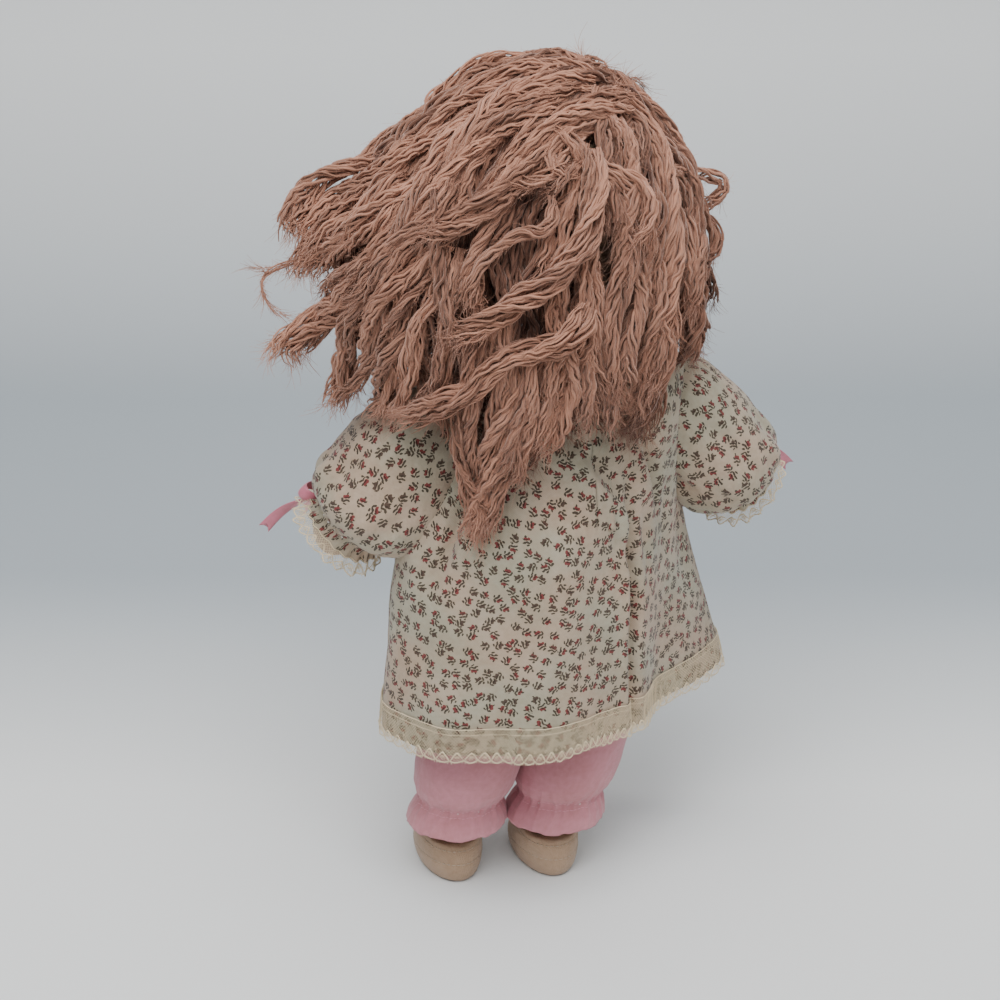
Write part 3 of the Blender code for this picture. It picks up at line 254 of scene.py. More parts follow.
class Threads:
    """Collects round threads for one mesh, with the values that their material reads."""

    def __init__(self):
        self.points, self.quads, self.fibre, self.tone = [], [], [], []
        self.count = 0

    def add(self, rings, tone, fibre, closed=False):
        """rings: points as (along, around, 3)."""
        along, around = rings.shape[:2]
        quads = grid_quads(along, around, True)
        if closed:
            last = (along - 1) * around
            here = np.arange(around)
            after = (here + 1) % around
            quads = np.vstack([quads, np.stack([last + here, last + after, after, here], axis=1)])
        self.points.append(rings.reshape(-1, 3))
        self.quads.append(quads + self.count)
        self.fibre.append(fibre.reshape(-1, 3))
        self.tone.append(np.full(along * around, tone))
        self.count += along * around

    def tube(self, path, radius, sides=6, tone=0.5, closed=False):
        """One thread along a path, its radius one number or one for each point."""
        path = np.asarray(path, dtype=float)
        _, side, other = path_frames(path)
        radius = np.broadcast_to(np.asarray(radius, dtype=float), (len(path),))
        angle = 2 * pi * np.arange(sides) / sides
        offset = (side[:, None] * np.cos(angle)[None, :, None] + other[:, None] * np.sin(angle)[None, :,
                                                                                                None])
        rings = path[:, None] + offset * radius[:, None, None]
        run = np.concatenate([[0], np.cumsum(np.linalg.norm(np.diff(path, axis=0), axis=1))])
        fibre = np.zeros(rings.shape)
        fibre[..., 0] = np.cos(angle)[None] * radius[:, None]
        fibre[..., 1] = np.sin(angle)[None] * radius[:, None]
        fibre[..., 2] = run[:, None]
        fibre[..., 2] += tone * 3.1
        self.add(rings, tone, fibre, closed)

    def fibres(self, paths, radius, tones):
        """Many fine fibres at once: paths as (fibre, point, 3), each tapering to nothing."""
        paths = np.asarray(paths, dtype=float)
        if not len(paths):
            return
        fibres, steps = paths.shape[:2]
        way = unit(np.gradient(paths, axis=1))
        side = unit(np.cross(way, np.array((0.37, 0.61, 0.7))))
        other = np.cross(way, side)
        angle = 2 * pi * np.arange(3) / 3
        taper = np.linspace(1.0, 0.35, steps)[None, :, None, None]
        offset = side[:, :, None] * np.cos(angle)[:, None] + other[:, :, None] * np.sin(angle)[:, None]
        rings = paths[:, :, None] + offset * radius * taper
        quads = grid_quads(steps, 3, True)
        base = np.arange(fibres)[:, None, None] * (steps * 3)
        self.points.append(rings.reshape(-1, 3))
        self.quads.append((quads[None] + base).reshape(-1, 4) + self.count)
        fibre = np.zeros((fibres, steps, 3, 3))
        fibre[..., 2] = np.asarray(tones)[:, None, None] * 3.1
        self.fibre.append(fibre.reshape(-1, 3))
        self.tone.append(np.repeat(np.asarray(tones, dtype=float), steps * 3))
        self.count += fibres * steps * 3

    def build(self, name, look):
        item = make_object(name, np.vstack(self.points), np.vstack(self.quads), look)
        point_values(item, "fibre", np.vstack(self.fibre))
        point_values(item, "tone", np.concatenate(self.tone))
        return item




# Materials


def paint(red, green, blue):
    """A colour given as the eye reads it, from 0 to 255, in the linear form of the shader."""
    linear = [(c / 255 + 0.055) ** 2.4 / 1.055 ** 2.4 if c > 10 else c / 255 / 12.92 for c in (red,
                                                                                               green, blue)]
    return (*linear, 1.0)


class Tree:
    """Short ways to add and join the nodes of one node tree."""

    def __init__(self, tree):
        self.tree = tree

    def add(self, kind, **settings):
        node = self.tree.nodes.new("ShaderNode" + kind)
        for name, value in settings.items():
            setattr(node, name, value)
        return node

    def put(self, socket, value):
        if isinstance(value, bpy.types.NodeSocket):
            self.tree.links.new(value, socket)
        else:
            socket.default_value = value

    def math(self, operation, a, b=0.0, c=0.0, clamp=False):
        node = self.add("Math", operation=operation, use_clamp=clamp)
        for socket, value in zip(node.inputs, (a, b, c)):
            self.put(socket, value)
        return node.outputs[0]

    def vector(self, operation, a, b=(0.0, 0.0, 0.0), scale=1.0):
        node = self.add("VectorMath", operation=operation)
        self.put(node.inputs[0], a)
        if operation == "SCALE":
            self.put(node.inputs["Scale"], scale)
        else:
            self.put(node.inputs[1], b)
        return node.outputs["Value"] if operation in ("LENGTH", "DOT_PRODUCT") else node.outputs["Vector"]

    def mix(self, share, a, b, blend="MIX"):
        node = self.add("Mix", data_type="RGBA", blend_type=blend)
        self.put(node.inputs[0], share)
        self.put(node.inputs[6], a)
        self.put(node.inputs[7], b)
        return node.outputs[2]

    def noise(self, place, scale, detail=2.0, rough=0.5):
        node = self.add("TexNoise")
        self.put(node.inputs["Vector"], place)
        self.put(node.inputs["Scale"], scale)
        self.put(node.inputs["Detail"], detail)
        self.put(node.inputs["Roughness"], rough)
        return node.outputs["Fac"]

    def span(self, value, low, high, to_low=0.0, to_high=1.0):
        node = self.add("MapRange")
        for name, number in (("Value", value), ("From Min", low), ("From Max", high),
                             ("To Min", to_low), ("To Max", to_high)):
            self.put(node.inputs[name], number)
        return node.outputs[0]

    def group(self, which, **values):
        node = self.add("Group", node_tree=which)
        for name, value in values.items():
            self.put(node.inputs[name], value)
        return node.outputs


KINDS = {"vector": "NodeSocketVector", "number": "NodeSocketFloat", "colour": "NodeSocketColor"}


def new_group(name, takes, gives):
    """A node group with named sockets, its tree, its inputs and its output node."""
    made = bpy.data.node_groups.new(name, "ShaderNodeTree")
    for label, kind in takes:
        made.interface.new_socket(label, in_out="INPUT", socket_type=KINDS[kind])
    for label, kind in gives:
        made.interface.new_socket(label, in_out="OUTPUT", socket_type=KINDS[kind])
    source = made.nodes.new("NodeGroupInput")
    end = made.nodes.new("NodeGroupOutput")
    return made, Tree(made), source.outputs, end.inputs


def weave_group():
    """Plain weave: the height of the crossing threads, and crumples some millimetres wide."""
    made, t, takes, gives = new_group(
        "plain weave", (("Place", "vector"), ("Threads", "number")),
        (("Height", "number"), ("Crumple", "number"))
    )
    across = t.vector("SCALE", takes["Place"], scale=takes["Threads"])
    parts = t.add("SeparateXYZ")
    t.put(parts.inputs[0], across)
    waves = [t.math("SINE", parts.outputs[k]) for k in range(3)]
    first = t.math("MULTIPLY", waves[0], waves[1])
    second = t.math("MULTIPLY", t.math("ADD", waves[0], waves[1]), waves[2])
    slub = t.noise(takes["Place"], 900.0, 2.0)
    height = t.math("ADD", t.math("ADD", first, second), slub)
    t.put(gives["Height"], height)
    crumple = t.math("ADD", t.noise(takes["Place"], 160.0, 3.0, 0.6), t.noise(takes["Place"], 55.0, 2.0))
    t.put(gives["Crumple"], crumple)
    return made


def wear_group():
    """A worn and washed colour: paler and darker blotches and a little yellowing."""
    made, t, takes, gives = new_group(
        "washed colour", (("Place", "vector"), ("Colour", "colour"), ("Amount", "number")),
        (("Colour", "colour"),)
    )
    blotch = t.span(t.noise(takes["Place"], 38.0, 3.0), 0.35, 0.65)
    fine = t.span(t.noise(takes["Place"], 420.0, 2.0), 0.3, 0.7)
    shade = t.math("ADD", t.math("MULTIPLY", blotch, 0.6), t.math("MULTIPLY", fine, 0.4))
    darker = t.mix(1.0, takes["Colour"], paint(222, 214, 204), "MULTIPLY")
    amount = t.math("MULTIPLY", shade, takes["Amount"], clamp=True)
    t.put(gives["Colour"], t.mix(amount, takes["Colour"], darker))
    return made


def fibre_group():
    """Streaks along spun fibres: their height and a shade from 0 to 1."""
    made, t, takes, gives = new_group(
        "spun fibres", (("Fibre", "vector"), ("Fineness", "number")),
        (("Height", "number"), ("Shade", "number"))
    )
    stretched = t.vector("MULTIPLY", takes["Fibre"], (1.0, 1.0, 0.09))
    streak = t.noise(t.vector("SCALE", stretched, scale=takes["Fineness"]), 1.0, 3.0, 0.6)
    patch = t.noise(t.vector("SCALE", takes["Fibre"], scale=160.0), 1.0, 2.0)
    t.put(gives["Height"], streak)
    t.put(gives["Shade"], t.math("ADD", t.math("MULTIPLY", streak, 0.65), t.math("MULTIPLY", patch, 0.35)))
    return made


# One sprig, in millimetres: middle across and up, half width, half height, turn in degrees
SPRIG_BUD = (
    (0.15, 0.7, 0.8, 1.15, 12), (0.85, 0.1, 0.65, 0.85, -35),
)
SPRIG_GREEN = (
    (-0.45, -0.75, 0.44, 1.25, 34), (-1.45, -0.1, 0.46, 0.95, 64), (0.85, -1.2, 0.44, 0.95, -52),
    (-1.1, -1.7, 0.42, 0.75, 76), (-0.85, 1.15, 0.42, 0.7, 28), (0.55, 1.75, 0.38, 0.55, -14),
    (0.1, 0.35, 0.26, 0.8, 40),
)
SPRIG_CELL = 5.3
SPRIG_SCATTER = 0.64
SPRIG_SLANT = radians(17)
SPRIG_RED_SHARE = 0.62


def sprig_group():
    """A print of small scattered rosebud sprigs, each turned its own way."""
    made, t, takes, gives = new_group(
        "scattered sprigs", (("Place", "vector"),),
        (("Bud", "number"), ("Green", "number"), ("Tone", "number"))
    )
    slanted = t.add("VectorRotate", rotation_type="Z_AXIS")
    t.put(slanted.inputs["Vector"], takes["Place"])
    t.put(slanted.inputs["Angle"], SPRIG_SLANT)
    grid = t.vector("SCALE", slanted.outputs[0], scale=1 / (SPRIG_CELL * MM))
    nearest = t.add("TexVoronoi", voronoi_dimensions="2D", feature="F1")
    t.put(nearest.inputs["Vector"], grid)
    t.put(nearest.inputs["Scale"], 1.0)
    t.put(nearest.inputs["Randomness"], SPRIG_SCATTER)
    dice = t.add("TexWhiteNoise", noise_dimensions="2D")
    t.put(dice.inputs["Vector"], nearest.outputs["Position"])
    placed = t.vector("SCALE", t.vector("SUBTRACT", grid, nearest.outputs["Position"]), scale=SPRIG_CELL)
    wobble = t.add("TexNoise")
    t.put(wobble.inputs["Vector"], takes["Place"])
    t.put(wobble.inputs["Scale"], 700.0)
    bent = t.vector("SCALE", t.vector("SUBTRACT", wobble.outputs["Color"], (0.5, 0.5, 0.5)), scale=1.1)
    turned = t.add("VectorRotate", rotation_type="Z_AXIS")
    t.put(turned.inputs["Vector"], t.vector("ADD", placed, bent))
    t.put(turned.inputs["Angle"], t.math("MULTIPLY", dice.outputs["Value"], 2 * pi * 3))

    def blob(middle_x, middle_y, half_wide, half_tall, turn):
        moved = t.vector("SUBTRACT", turned.outputs[0], (middle_x, middle_y, 0.0))
        aligned = t.add("VectorRotate", rotation_type="Z_AXIS")
        t.put(aligned.inputs["Vector"], moved)
        t.put(aligned.inputs["Angle"], radians(-turn))
        shaped = t.vector("MULTIPLY", aligned.outputs[0], (1 / half_wide, 1 / half_tall, 0.0))
        inside = t.math("SUBTRACT", 1.0, t.vector("LENGTH", shaped))
        return t.math("MULTIPLY", inside, 5.0, clamp=True)

    def joined(shapes):
        whole = blob(*shapes[0])
        for shape in shapes[1:]:
            whole = t.math("MAXIMUM", whole, blob(*shape))
        return whole

    t.put(gives["Bud"], joined(SPRIG_BUD))
    t.put(gives["Green"], joined(SPRIG_GREEN))
    t.put(gives["Tone"], dice.outputs["Value"])
    return made


WEAVE = weave_group()
WEAR = wear_group()
FIBRES = fibre_group()
SPRIGS = sprig_group()


def new_material(name, roughness, sheen=0.0):
    look = bpy.data.materials.new(name)
    look.use_nodes = True
    t = Tree(look.node_tree)
    shader = look.node_tree.nodes["Principled BSDF"]
    shader.inputs["Roughness"].default_value = roughness
    shader.inputs["Sheen Weight"].default_value = sheen
    shader.inputs["Sheen Roughness"].default_value = 0.45
    shader.inputs["Specular IOR Level"].default_value = 0.25
    return look, t, shader


def add_bump(t, shader, heights):
    """Bumps one on another: each a height, its distance in metres and its strength."""
    normal = None
    for height, distance, strength in heights:
        bump = t.add("Bump")
        t.put(bump.inputs["Height"], height)
        t.put(bump.inputs["Distance"], distance)
        t.put(bump.inputs["Strength"], strength)
        if normal is not None:
            t.put(bump.inputs["Normal"], normal)
        normal = bump.outputs[0]
    t.put(shader.inputs["Normal"], normal)


def cloth_place(t, own_grid):
    """Where a cloth's pattern is read: its own flat places, or the object's on a stuffed form."""
    if own_grid:
        return t.add("Attribute", attribute_name="cloth").outputs["Vector"]
    return t.add("TexCoord").outputs["Object"]


def woven(name, colour, own_grid=True, threads=9500.0, roughness=0.88, sheen=0.25, wear=0.8, crumple=0.5):
    look, t, shader = new_material(name, roughness, sheen)
    place = cloth_place(t, own_grid)
    weave = t.group(WEAVE, Place=place, Threads=threads)
    worn = t.group(WEAR, Place=place, Colour=colour, Amount=wear)
    # The colour is scaled by the weave's height: painted shade where the threads lie low and painted
    # highlight where they stand high, with slubs that vary at random
    painted_weave_shade = t.span(weave["Height"], -0.6, 1.8, 0.93, 1.03)
    shaded = t.vector("SCALE", worn["Colour"], scale=painted_weave_shade)
    t.put(shader.inputs["Base Color"], shaded)
    add_bump(t, shader, ((weave["Crumple"], 1.2 * MM, crumple), (weave["Height"], 0.1 * MM, 0.5)))
    return look, t, shader, place


CALICO_WARM = paint(188, 167, 146)
CALICO_COOL = paint(178, 171, 151)


def calico_material():
    """Cream cotton printed with small rosebud sprigs."""
    look, t, shader = new_material("printed calico", 0.86, 0.2)
    place = cloth_place(t, True)
    weave = t.group(WEAVE, Place=place, Threads=9500.0)
    sprig = t.group(SPRIGS, Place=place)
    ground = t.mix(t.span(t.noise(place, 30.0), 0.4, 0.6), CALICO_WARM, CALICO_COOL)
    dull = t.span(sprig["Tone"], SPRIG_RED_SHARE - 0.05, SPRIG_RED_SHARE + 0.05)
    red = t.mix(dull, paint(122, 34, 42), paint(72, 52, 44))
    green = t.mix(sprig["Tone"], paint(46, 38, 30), paint(66, 56, 44))
    bud_share = t.math("MULTIPLY", sprig["Bud"], 0.92)
    with_bud = t.mix(bud_share, ground, red)
    printed = t.mix(t.math("MULTIPLY", sprig["Green"], 0.92), with_bud, green)
    worn = t.group(WEAR, Place=place, Colour=printed, Amount=0.7)
    # The colour is scaled by the weave's height: painted shade where the threads lie low and painted
    # highlight where they stand high, with slubs that vary at random
    painted_weave_shade = t.span(weave["Height"], -0.6, 1.8, 0.8, 1.12)
    t.put(shader.inputs["Base Color"], t.vector("SCALE", worn["Colour"], scale=painted_weave_shade))
    add_bump(t, shader, ((weave["Crumple"], 1.2 * MM, 0.55), (weave["Height"], 0.1 * MM, 0.5)))
    return look


def yarn_material(name, light, dark, sheen=0.5):
    """Spun wool: each strand a little paler or darker at random, with streaks along its fibres; strands of
    the under layers come out darker still, which is painted shade.
    """
    look, t, shader = new_material(name, 0.92, sheen)
    fibre = t.add("Attribute", attribute_name="fibre").outputs["Vector"]
    tone = t.add("Attribute", attribute_name="tone").outputs["Fac"]
    spun = t.group(FIBRES, Fibre=fibre, Fineness=2400.0)
    streaks = t.span(spun["Shade"], 0.36, 0.64)
    share = t.math("ADD", t.math("MULTIPLY", tone, 0.68), t.math("MULTIPLY", streaks, 0.42))
    t.put(shader.inputs["Base Color"], t.mix(t.span(share, 0.12, 0.98), dark, light))
    shader.inputs["Sheen Tint"].default_value = paint(240, 205, 190)
    add_bump(t, shader, ((spun["Height"], 0.45 * MM, 0.8),))
    return look


def thread_material(name, light, dark, roughness=0.75, sheen=0.2):
    look, t, shader = new_material(name, roughness, sheen)
    fibre = t.add("Attribute", attribute_name="fibre").outputs["Vector"]
    tone = t.add("Attribute", attribute_name="tone").outputs["Fac"]
    spun = t.group(FIBRES, Fibre=fibre, Fineness=16000.0)
    share = t.math("ADD", t.math("MULTIPLY", tone, 0.5), t.math("MULTIPLY", spun["Shade"], 0.5))
    t.put(shader.inputs["Base Color"], t.mix(share, dark, light))
    add_bump(t, shader, ((spun["Height"], 0.05 * MM, 0.6),))
    return look


def satin_material():
    """Rose satin ribbon: fine lines across it and a soft sheen along it."""
    look, t, shader = new_material("rose satin", 0.38, 0.3)
    place = cloth_place(t, True)
    ribs = t.add("TexWave", bands_direction="Y")
    t.put(ribs.inputs["Vector"], place)
    t.put(ribs.inputs["Scale"], 900.0)
    worn = t.group(WEAR, Place=place, Colour=paint(196, 108, 128), Amount=0.9)
    t.put(shader.inputs["Base Color"], t.mix(t.span(ribs.outputs["Fac"], 0, 1, 0.0, 0.15), worn["Colour"],
                                             paint(226, 160, 176)))
    shader.inputs["Anisotropic"].default_value = 0.5
    shader.inputs["Specular IOR Level"].default_value = 0.6
    add_bump(t, shader, ((ribs.outputs["Fac"], 0.03 * MM, 0.5), (t.noise(place, 260.0), 0.4 * MM, 0.3)))
    return look


def muslin_material(name, blush=False):
    look, t, shader, place = woven(name, paint(187, 159, 134), own_grid=False, threads=8200.0, crumple=0.35)
    if blush:
        head = box_middle("head")
        worn = shader.inputs["Base Color"].links[0].from_socket
        for side, _ in SIDES:
            cheek = Vector((head.x + side * CHEEK_SPREAD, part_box("head")[0][1] + CHEEK_DEEP,
                            head.z + CHEEK_UP))
            away = t.vector("LENGTH", t.vector("SUBTRACT", place, tuple(cheek)))
            share = t.span(away, 0.0, CHEEK_RADIUS, 0.42, 0.0)
            worn = t.mix(share, worn, paint(214, 128, 118))
        t.put(shader.inputs["Base Color"], worn)
    return look


def elastic_material():
    look, t, shader = new_material("covered elastic", 0.75, 0.1)
    place = t.add("TexCoord").outputs["Object"]
    ribs = t.noise(place, 1500.0, 2.0)
    t.put(shader.inputs["Base Color"], t.mix(ribs, paint(206, 200, 192), paint(232, 228, 220)))
    add_bump(t, shader, ((ribs, 0.1 * MM, 0.6),))
    return look


def snap_material():
    look, t, shader = new_material("pressed snap", 0.32)
    place = t.add("TexCoord").outputs["Object"]
    scratch = t.noise(place, 2200.0, 4.0, 0.7)
    t.put(shader.inputs["Base Color"], t.mix(scratch, paint(150, 150, 152), paint(196, 196, 198)))
    t.put(shader.inputs["Roughness"], t.span(scratch, 0.3, 0.7, 0.26, 0.46))
    shader.inputs["Metallic"].default_value = 1.0
    add_bump(t, shader, ((scratch, 0.05 * MM, 0.3),))
    return look


CHEEK_SPREAD = 24 * MM
CHEEK_DEEP = 12 * MM
CHEEK_UP = -14 * MM
CHEEK_RADIUS = 11 * MM

CALICO = calico_material()
BLOOMER = woven("pink cotton", paint(209, 143, 153), sheen=0.3, crumple=0.45)[0]
MUSLIN = muslin_material("stuffed muslin")
FACE_MUSLIN = muslin_material("face muslin", blush=True)
YARN = yarn_material("dusty pink wool", paint(186, 134, 110), paint(62, 37, 29), 0.6)
LACE = thread_material("cream lace thread", paint(236, 218, 186), paint(204, 184, 150), 0.85)
SATIN_LOOK = satin_material()
DARK_THREAD = thread_material("dark embroidery thread", paint(74, 50, 42), paint(38, 24, 20), 0.5)
RED_THREAD = thread_material("red embroidery thread", paint(176, 72, 76), paint(130, 46, 52), 0.5)
SEWING = thread_material("cream sewing thread", paint(214, 198, 176), paint(180, 162, 140), 0.7)
ELASTIC = elastic_material()
SNAP = snap_material()
PINK_SEWING = thread_material("pink sewing thread", paint(226, 170, 178), paint(196, 130, 142), 0.7)
LACE_TAPE = woven("cotton tape", paint(196, 160, 140), crumple=0.2)[0]


# Stuffed forms

FINGER_SPREAD = 3.6 * MM


def stuffed(name, node, body, look, voxel, swell, flat_sole=False):
    """The form of a CAD solid as cloth blown up a little by its stuffing."""
    source = frame["nodes"][node]
    mesh = source.data.copy()
    mesh.transform(source.matrix_world)
    mesh.materials.clear()
    item = bpy.data.objects.new(name, mesh)
    bpy.context.scene.collection.objects.link(item)
    skin = item.modifiers.new("one skin", "REMESH")
    skin.mode = "VOXEL"
    skin.voxel_size = voxel
    soft = item.modifiers.new("even", "SMOOTH")
    soft.factor = 0.5
    soft.iterations = 6
    apply_modifiers(item)
    pulled_in(item, swell)
    blow_up(item, swell * 2.2)
    finer = item.modifiers.new("finer", "SUBSURF")
    finer.levels = 1
    finer.render_levels = 1
    apply_modifiers(item)
    if flat_sole:
        settle_sole(item)
    item.data.materials.append(look)
    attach(item, body)
    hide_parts(node)
    return item


def pulled_in(item, depth):
    """Draws a form in along its normals, so that it can swell again."""
    moved = [v.co - v.normal * depth for v in item.data.vertices]
    for vertex, place in zip(item.data.vertices, moved):
        vertex.co = place


def blow_up(item, most):
    """Lets pressure fill the cloth, and caps how far a point may move."""
    scene = bpy.context.scene
    before = np.empty(len(item.data.vertices) * 3, dtype=np.float32)
    item.data.vertices.foreach_get("co", before)
    cloth = item.modifiers.new("stuffing", "CLOTH")
    cloth.settings.quality = 4
    cloth.settings.mass = 0.1
    cloth.settings.use_pressure = True
    cloth.settings.uniform_pressure_force = 3.0
    cloth.settings.tension_stiffness = 12.0
    cloth.settings.bending_stiffness = 0.4
    cloth.settings.effector_weights.gravity = 0.0
    for step in range(1, 15):
        scene.frame_set(step)
    apply_modifiers(item)
    scene.frame_set(1)
    after = np.empty_like(before)
    item.data.vertices.foreach_get("co", after)
    before, after = before.reshape(-1, 3), after.reshape(-1, 3)
    move = after - before
    length = np.linalg.norm(move, axis=1, keepdims=True)
    move *= np.minimum(1.0, most / np.maximum(length, 1e-9))
    item.data.vertices.foreach_set("co", (before + move).ravel())
    item.data.update()


def settle_sole(item):
    """Keeps the foot on the ground, flat where it rests."""
    for vertex in item.data.vertices:
        vertex.co.z = max(vertex.co.z, 0.0)


def on_surface(tree, place, way, off):
    """The point of a surface met from outside along a direction, lifted off it by a little."""
    start = place - way * 0.06
    hit, normal, _, _ = tree.ray_cast(start, way, 0.12)
    if hit is None:
        return place
    return hit + normal * off


def stitched_seam(threads, path, length=2.2 * MM, gap=0.9 * MM, radius=SEWING_THREAD, tone=0.5):
    """A row of small stitches that dip into the cloth at both ends."""
    path = np.asarray(path, dtype=float)
    run = np.concatenate([[0], np.cumsum(np.linalg.norm(np.diff(path, axis=0), axis=1))])
    _, side, _ = path_frames(path)
    start = 0.0
    while start + length < run[-1]:
        even = np.linspace(start, start + length, 5)
        points = np.stack([np.interp(even, run, path[:, k]) for k in range(3)], axis=1)
        threads.tube(points, radius * np.array((0.5, 1.0, 1.1, 1.0, 0.5)), 4, tone)
        start += length + gap


def make_feet():
    for side, word in SIDES:
        node = "foot_" + word
        foot = stuffed("foot_cloth_" + word, node, "leg_" + word, MUSLIN, 1.5 * MM, 0.35 * MM,
                       flat_sole=True)
        low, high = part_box(node)
        tree = BVHTree.FromObject(foot, bpy.context.evaluated_depsgraph_get())
        middle = box_middle(node)
        threads = Threads()
        for height, tilt in ((0.42, 0.1), (0.86, -0.02)):
            ring = []
            for k in range(73):
                angle = 2 * pi * k / 72
                way = Vector((cos(angle), sin(angle), 0))
                start = Vector((middle.x, middle.y,
                                low[2] + (high[2] - low[2]) * (height + tilt * sin(angle))))
                ring.append(on_surface(tree, start + way * 0.05, -way, SEWING_THREAD * 0.4))
            groove(foot, ring, 0.35 * MM, 0.8 * MM)
            stitched_seam(threads, ring, 1.5 * MM, 0.7 * MM)
        seam = threads.build("foot_seam_" + word, SEWING)
        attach(seam, "leg_" + word)


def groove(item, path, depth, wide):
    """Presses a narrow groove into a form along a path, as a seam does."""
    points = np.array([tuple(p) for p in path])
    count = len(item.data.vertices)
    places = np.empty(count * 3, dtype=np.float32)
    normals = np.empty(count * 3, dtype=np.float32)
    item.data.vertices.foreach_get("co", places)
    item.data.vertices.foreach_get("normal", normals)
    places, normals = places.reshape(-1, 3), normals.reshape(-1, 3)
    near = np.full(count, 1.0)
    for point in points:
        near = np.minimum(near, np.linalg.norm(places - point, axis=1))
    places -= normals * (depth * np.exp(-(near / wide) ** 2))[:, None]
    item.data.vertices.foreach_set("co", places.ravel())
    item.data.update()


def make_stuffed_forms():
    torso = stuffed("torso_cloth", "torso", "torso", MUSLIN, 2.4 * MM, 0.5 * MM)
    neck = stuffed("neck_cloth", "neck", "neck", MUSLIN, 1.6 * MM, 0.3 * MM)
    for side, word in SIDES:
        stuffed("leg_cloth_" + word, "leg_" + word, "leg_" + word, MUSLIN, 2.2 * MM, 0.4 * MM)
        arm = stuffed("arm_cloth_" + word, "arm_" + word, "arm_" + word, MUSLIN, 1.5 * MM, 0.3 * MM)
        finger_lines(arm, side, word)
    return torso, neck


def finger_lines(arm, side, word):
    """The stitched lines that part the fingers of a mitten hand."""
    points = arm_points(side, word)
    tip, palm = points[4], points[3]
    way = (tip - palm) / np.linalg.norm(tip - palm)
    places = np.array([tuple(v.co) for v in arm.data.vertices])
    hand = places[(places - tip) @ way > -16 * MM]
    hand = hand - hand.mean(axis=0)
    hand -= np.outer(hand @ way, way)
    spreads = np.linalg.eigh(hand.T @ hand)[1]
    thin, wide = spreads[:, 1], spreads[:, 2]
    tree = BVHTree.FromObject(arm, bpy.context.evaluated_depsgraph_get())
    threads = Threads()
    for spread in (-1, 0, 1):
        for face in (1, -1):
            path = []
            for back in np.linspace(3 * MM, 12 * MM, 9):
                start = tip - way * back + wide * spread * FINGER_SPREAD
                path.append(on_surface(tree, Vector(start), Vector(thin * face), SEWING_THREAD * 0.3))
            groove(arm, path, 0.5 * MM, 0.7 * MM)
            stitched_seam(threads, path, 1.6 * MM, 0.6 * MM)
    seam = threads.build("finger_stitches_" + word, SEWING)
    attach(seam, "arm_" + word)


# Head and face

EYE_HALF_WIDE = 3.2 * MM
EYE_HALF_TALL = 4.3 * MM
FACE_THREAD = 0.28 * MM


def make_head():
    head = stuffed("head_cloth", "head", "head", FACE_MUSLIN, 2.0 * MM, 0.5 * MM)
    tree = BVHTree.FromObject(head, bpy.context.evaluated_depsgraph_get())
    ahead = Vector((0, 1, 0))

    def on_face(x, z, off=FACE_THREAD * 0.5):
        return on_surface(tree, Vector((x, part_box("head")[0][1], z)), ahead, off)

    for side, word in SIDES:
        middle = box_middle("eye_" + word)
        eye = Threads()
        count = 15
        for k in range(count):
            share = 2 * (k + 0.5) / count - 1
            tall = EYE_HALF_TALL * (1 - share * share) ** 0.5
            x = middle.x + EYE_HALF_WIDE * share
            rows = [on_face(x, middle.z + tall * s,
                            FACE_THREAD * (0.9 - 0.6 * abs(s))) for s in np.linspace(-1, 1, 7)]
            eye.tube(rows, FACE_THREAD, 5, 0.2 + 0.5 * chance.random())
        for k, (turn, length) in enumerate(((35, 3.4), (62, 3.2), (90, 2.8))):
            out = side * cos(radians(turn)) * length * MM
            base_x = middle.x + side * EYE_HALF_WIDE * (0.75 - 0.35 * k)
            base_z = middle.z + EYE_HALF_TALL * (0.55 + 0.2 * k)
            lift = sin(radians(turn)) * length * MM
            lash = [on_face(base_x + out * s, base_z + lift * s) for s in np.linspace(0, 1, 5)]
            eye.tube(lash, FACE_THREAD * 0.6, 5, 0.3)
        brow = []
        for s in np.linspace(-1, 1, 11):
            brow.append(on_face(middle.x + side * MM + 5.0 * MM * s, middle.z + 9.5 * MM - 1.4 * MM * s * s))
        eye.tube(brow, FACE_THREAD * 0.7, 5, 0.6)
        sewn = eye.build("eye_stitches_" + word, DARK_THREAD)
        place_on(sewn, "head", "face_thread", "eye_" + word)
        spark = Threads()
        for k in range(4):
            x = middle.x + 1.1 * MM + (k - 1.5) * FACE_THREAD * 1.3
            rows = [on_face(x, middle.z + 1.7 * MM + 0.7 * MM * s,
                            FACE_THREAD * 1.7) for s in np.linspace(-1, 1, 5)]
            spark.tube(rows, FACE_THREAD * 0.8, 5, 0.8)
        place_on(spark.build("eye_light_" + word, LACE), "head", "face_thread")

    nose_middle = box_middle("nose")
    nose = Threads()
    for k in range(6):
        z = nose_middle.z + (k - 2.5) * FACE_THREAD * 1.7
        half = 1.9 * MM * (1 - abs(k - 3) / 5)
        rows = [on_face(nose_middle.x + half * s, z,
                        FACE_THREAD * (1.1 - 0.8 * abs(s))) for s in np.linspace(-1, 1, 5)]
        nose.tube(rows, FACE_THREAD, 5, chance.random())
    place_on(nose.build("nose_stitches", RED_THREAD), "head", "mouth_thread", "nose")

    low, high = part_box("mouth")
    mouth = Threads()
    half = (high[0] - low[0]) / 2
    smile = [on_face((low[0] + high[0]) / 2 + half * s, low[2] + 0.6 * MM + 2.2 * MM * s * s, FACE_THREAD)
             for s in np.linspace(-1, 1, 41)]
    for strand in (-0.5, 0.5):
        lifted = [p + Vector((0, 0, strand * FACE_THREAD * 1.6)) for p in smile]
        stitched_seam(mouth, lifted, 2.1 * MM, 0.2 * MM, FACE_THREAD * 0.9, 0.5 + strand * 0.4)
    place_on(mouth.build("mouth_stitches", RED_THREAD), "head", "mouth_thread", "mouth")
    return head


def place_on(item, body, slot, *nodes):
    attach(item, body)
    if nodes:
        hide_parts(*nodes)
    return item


# The dress

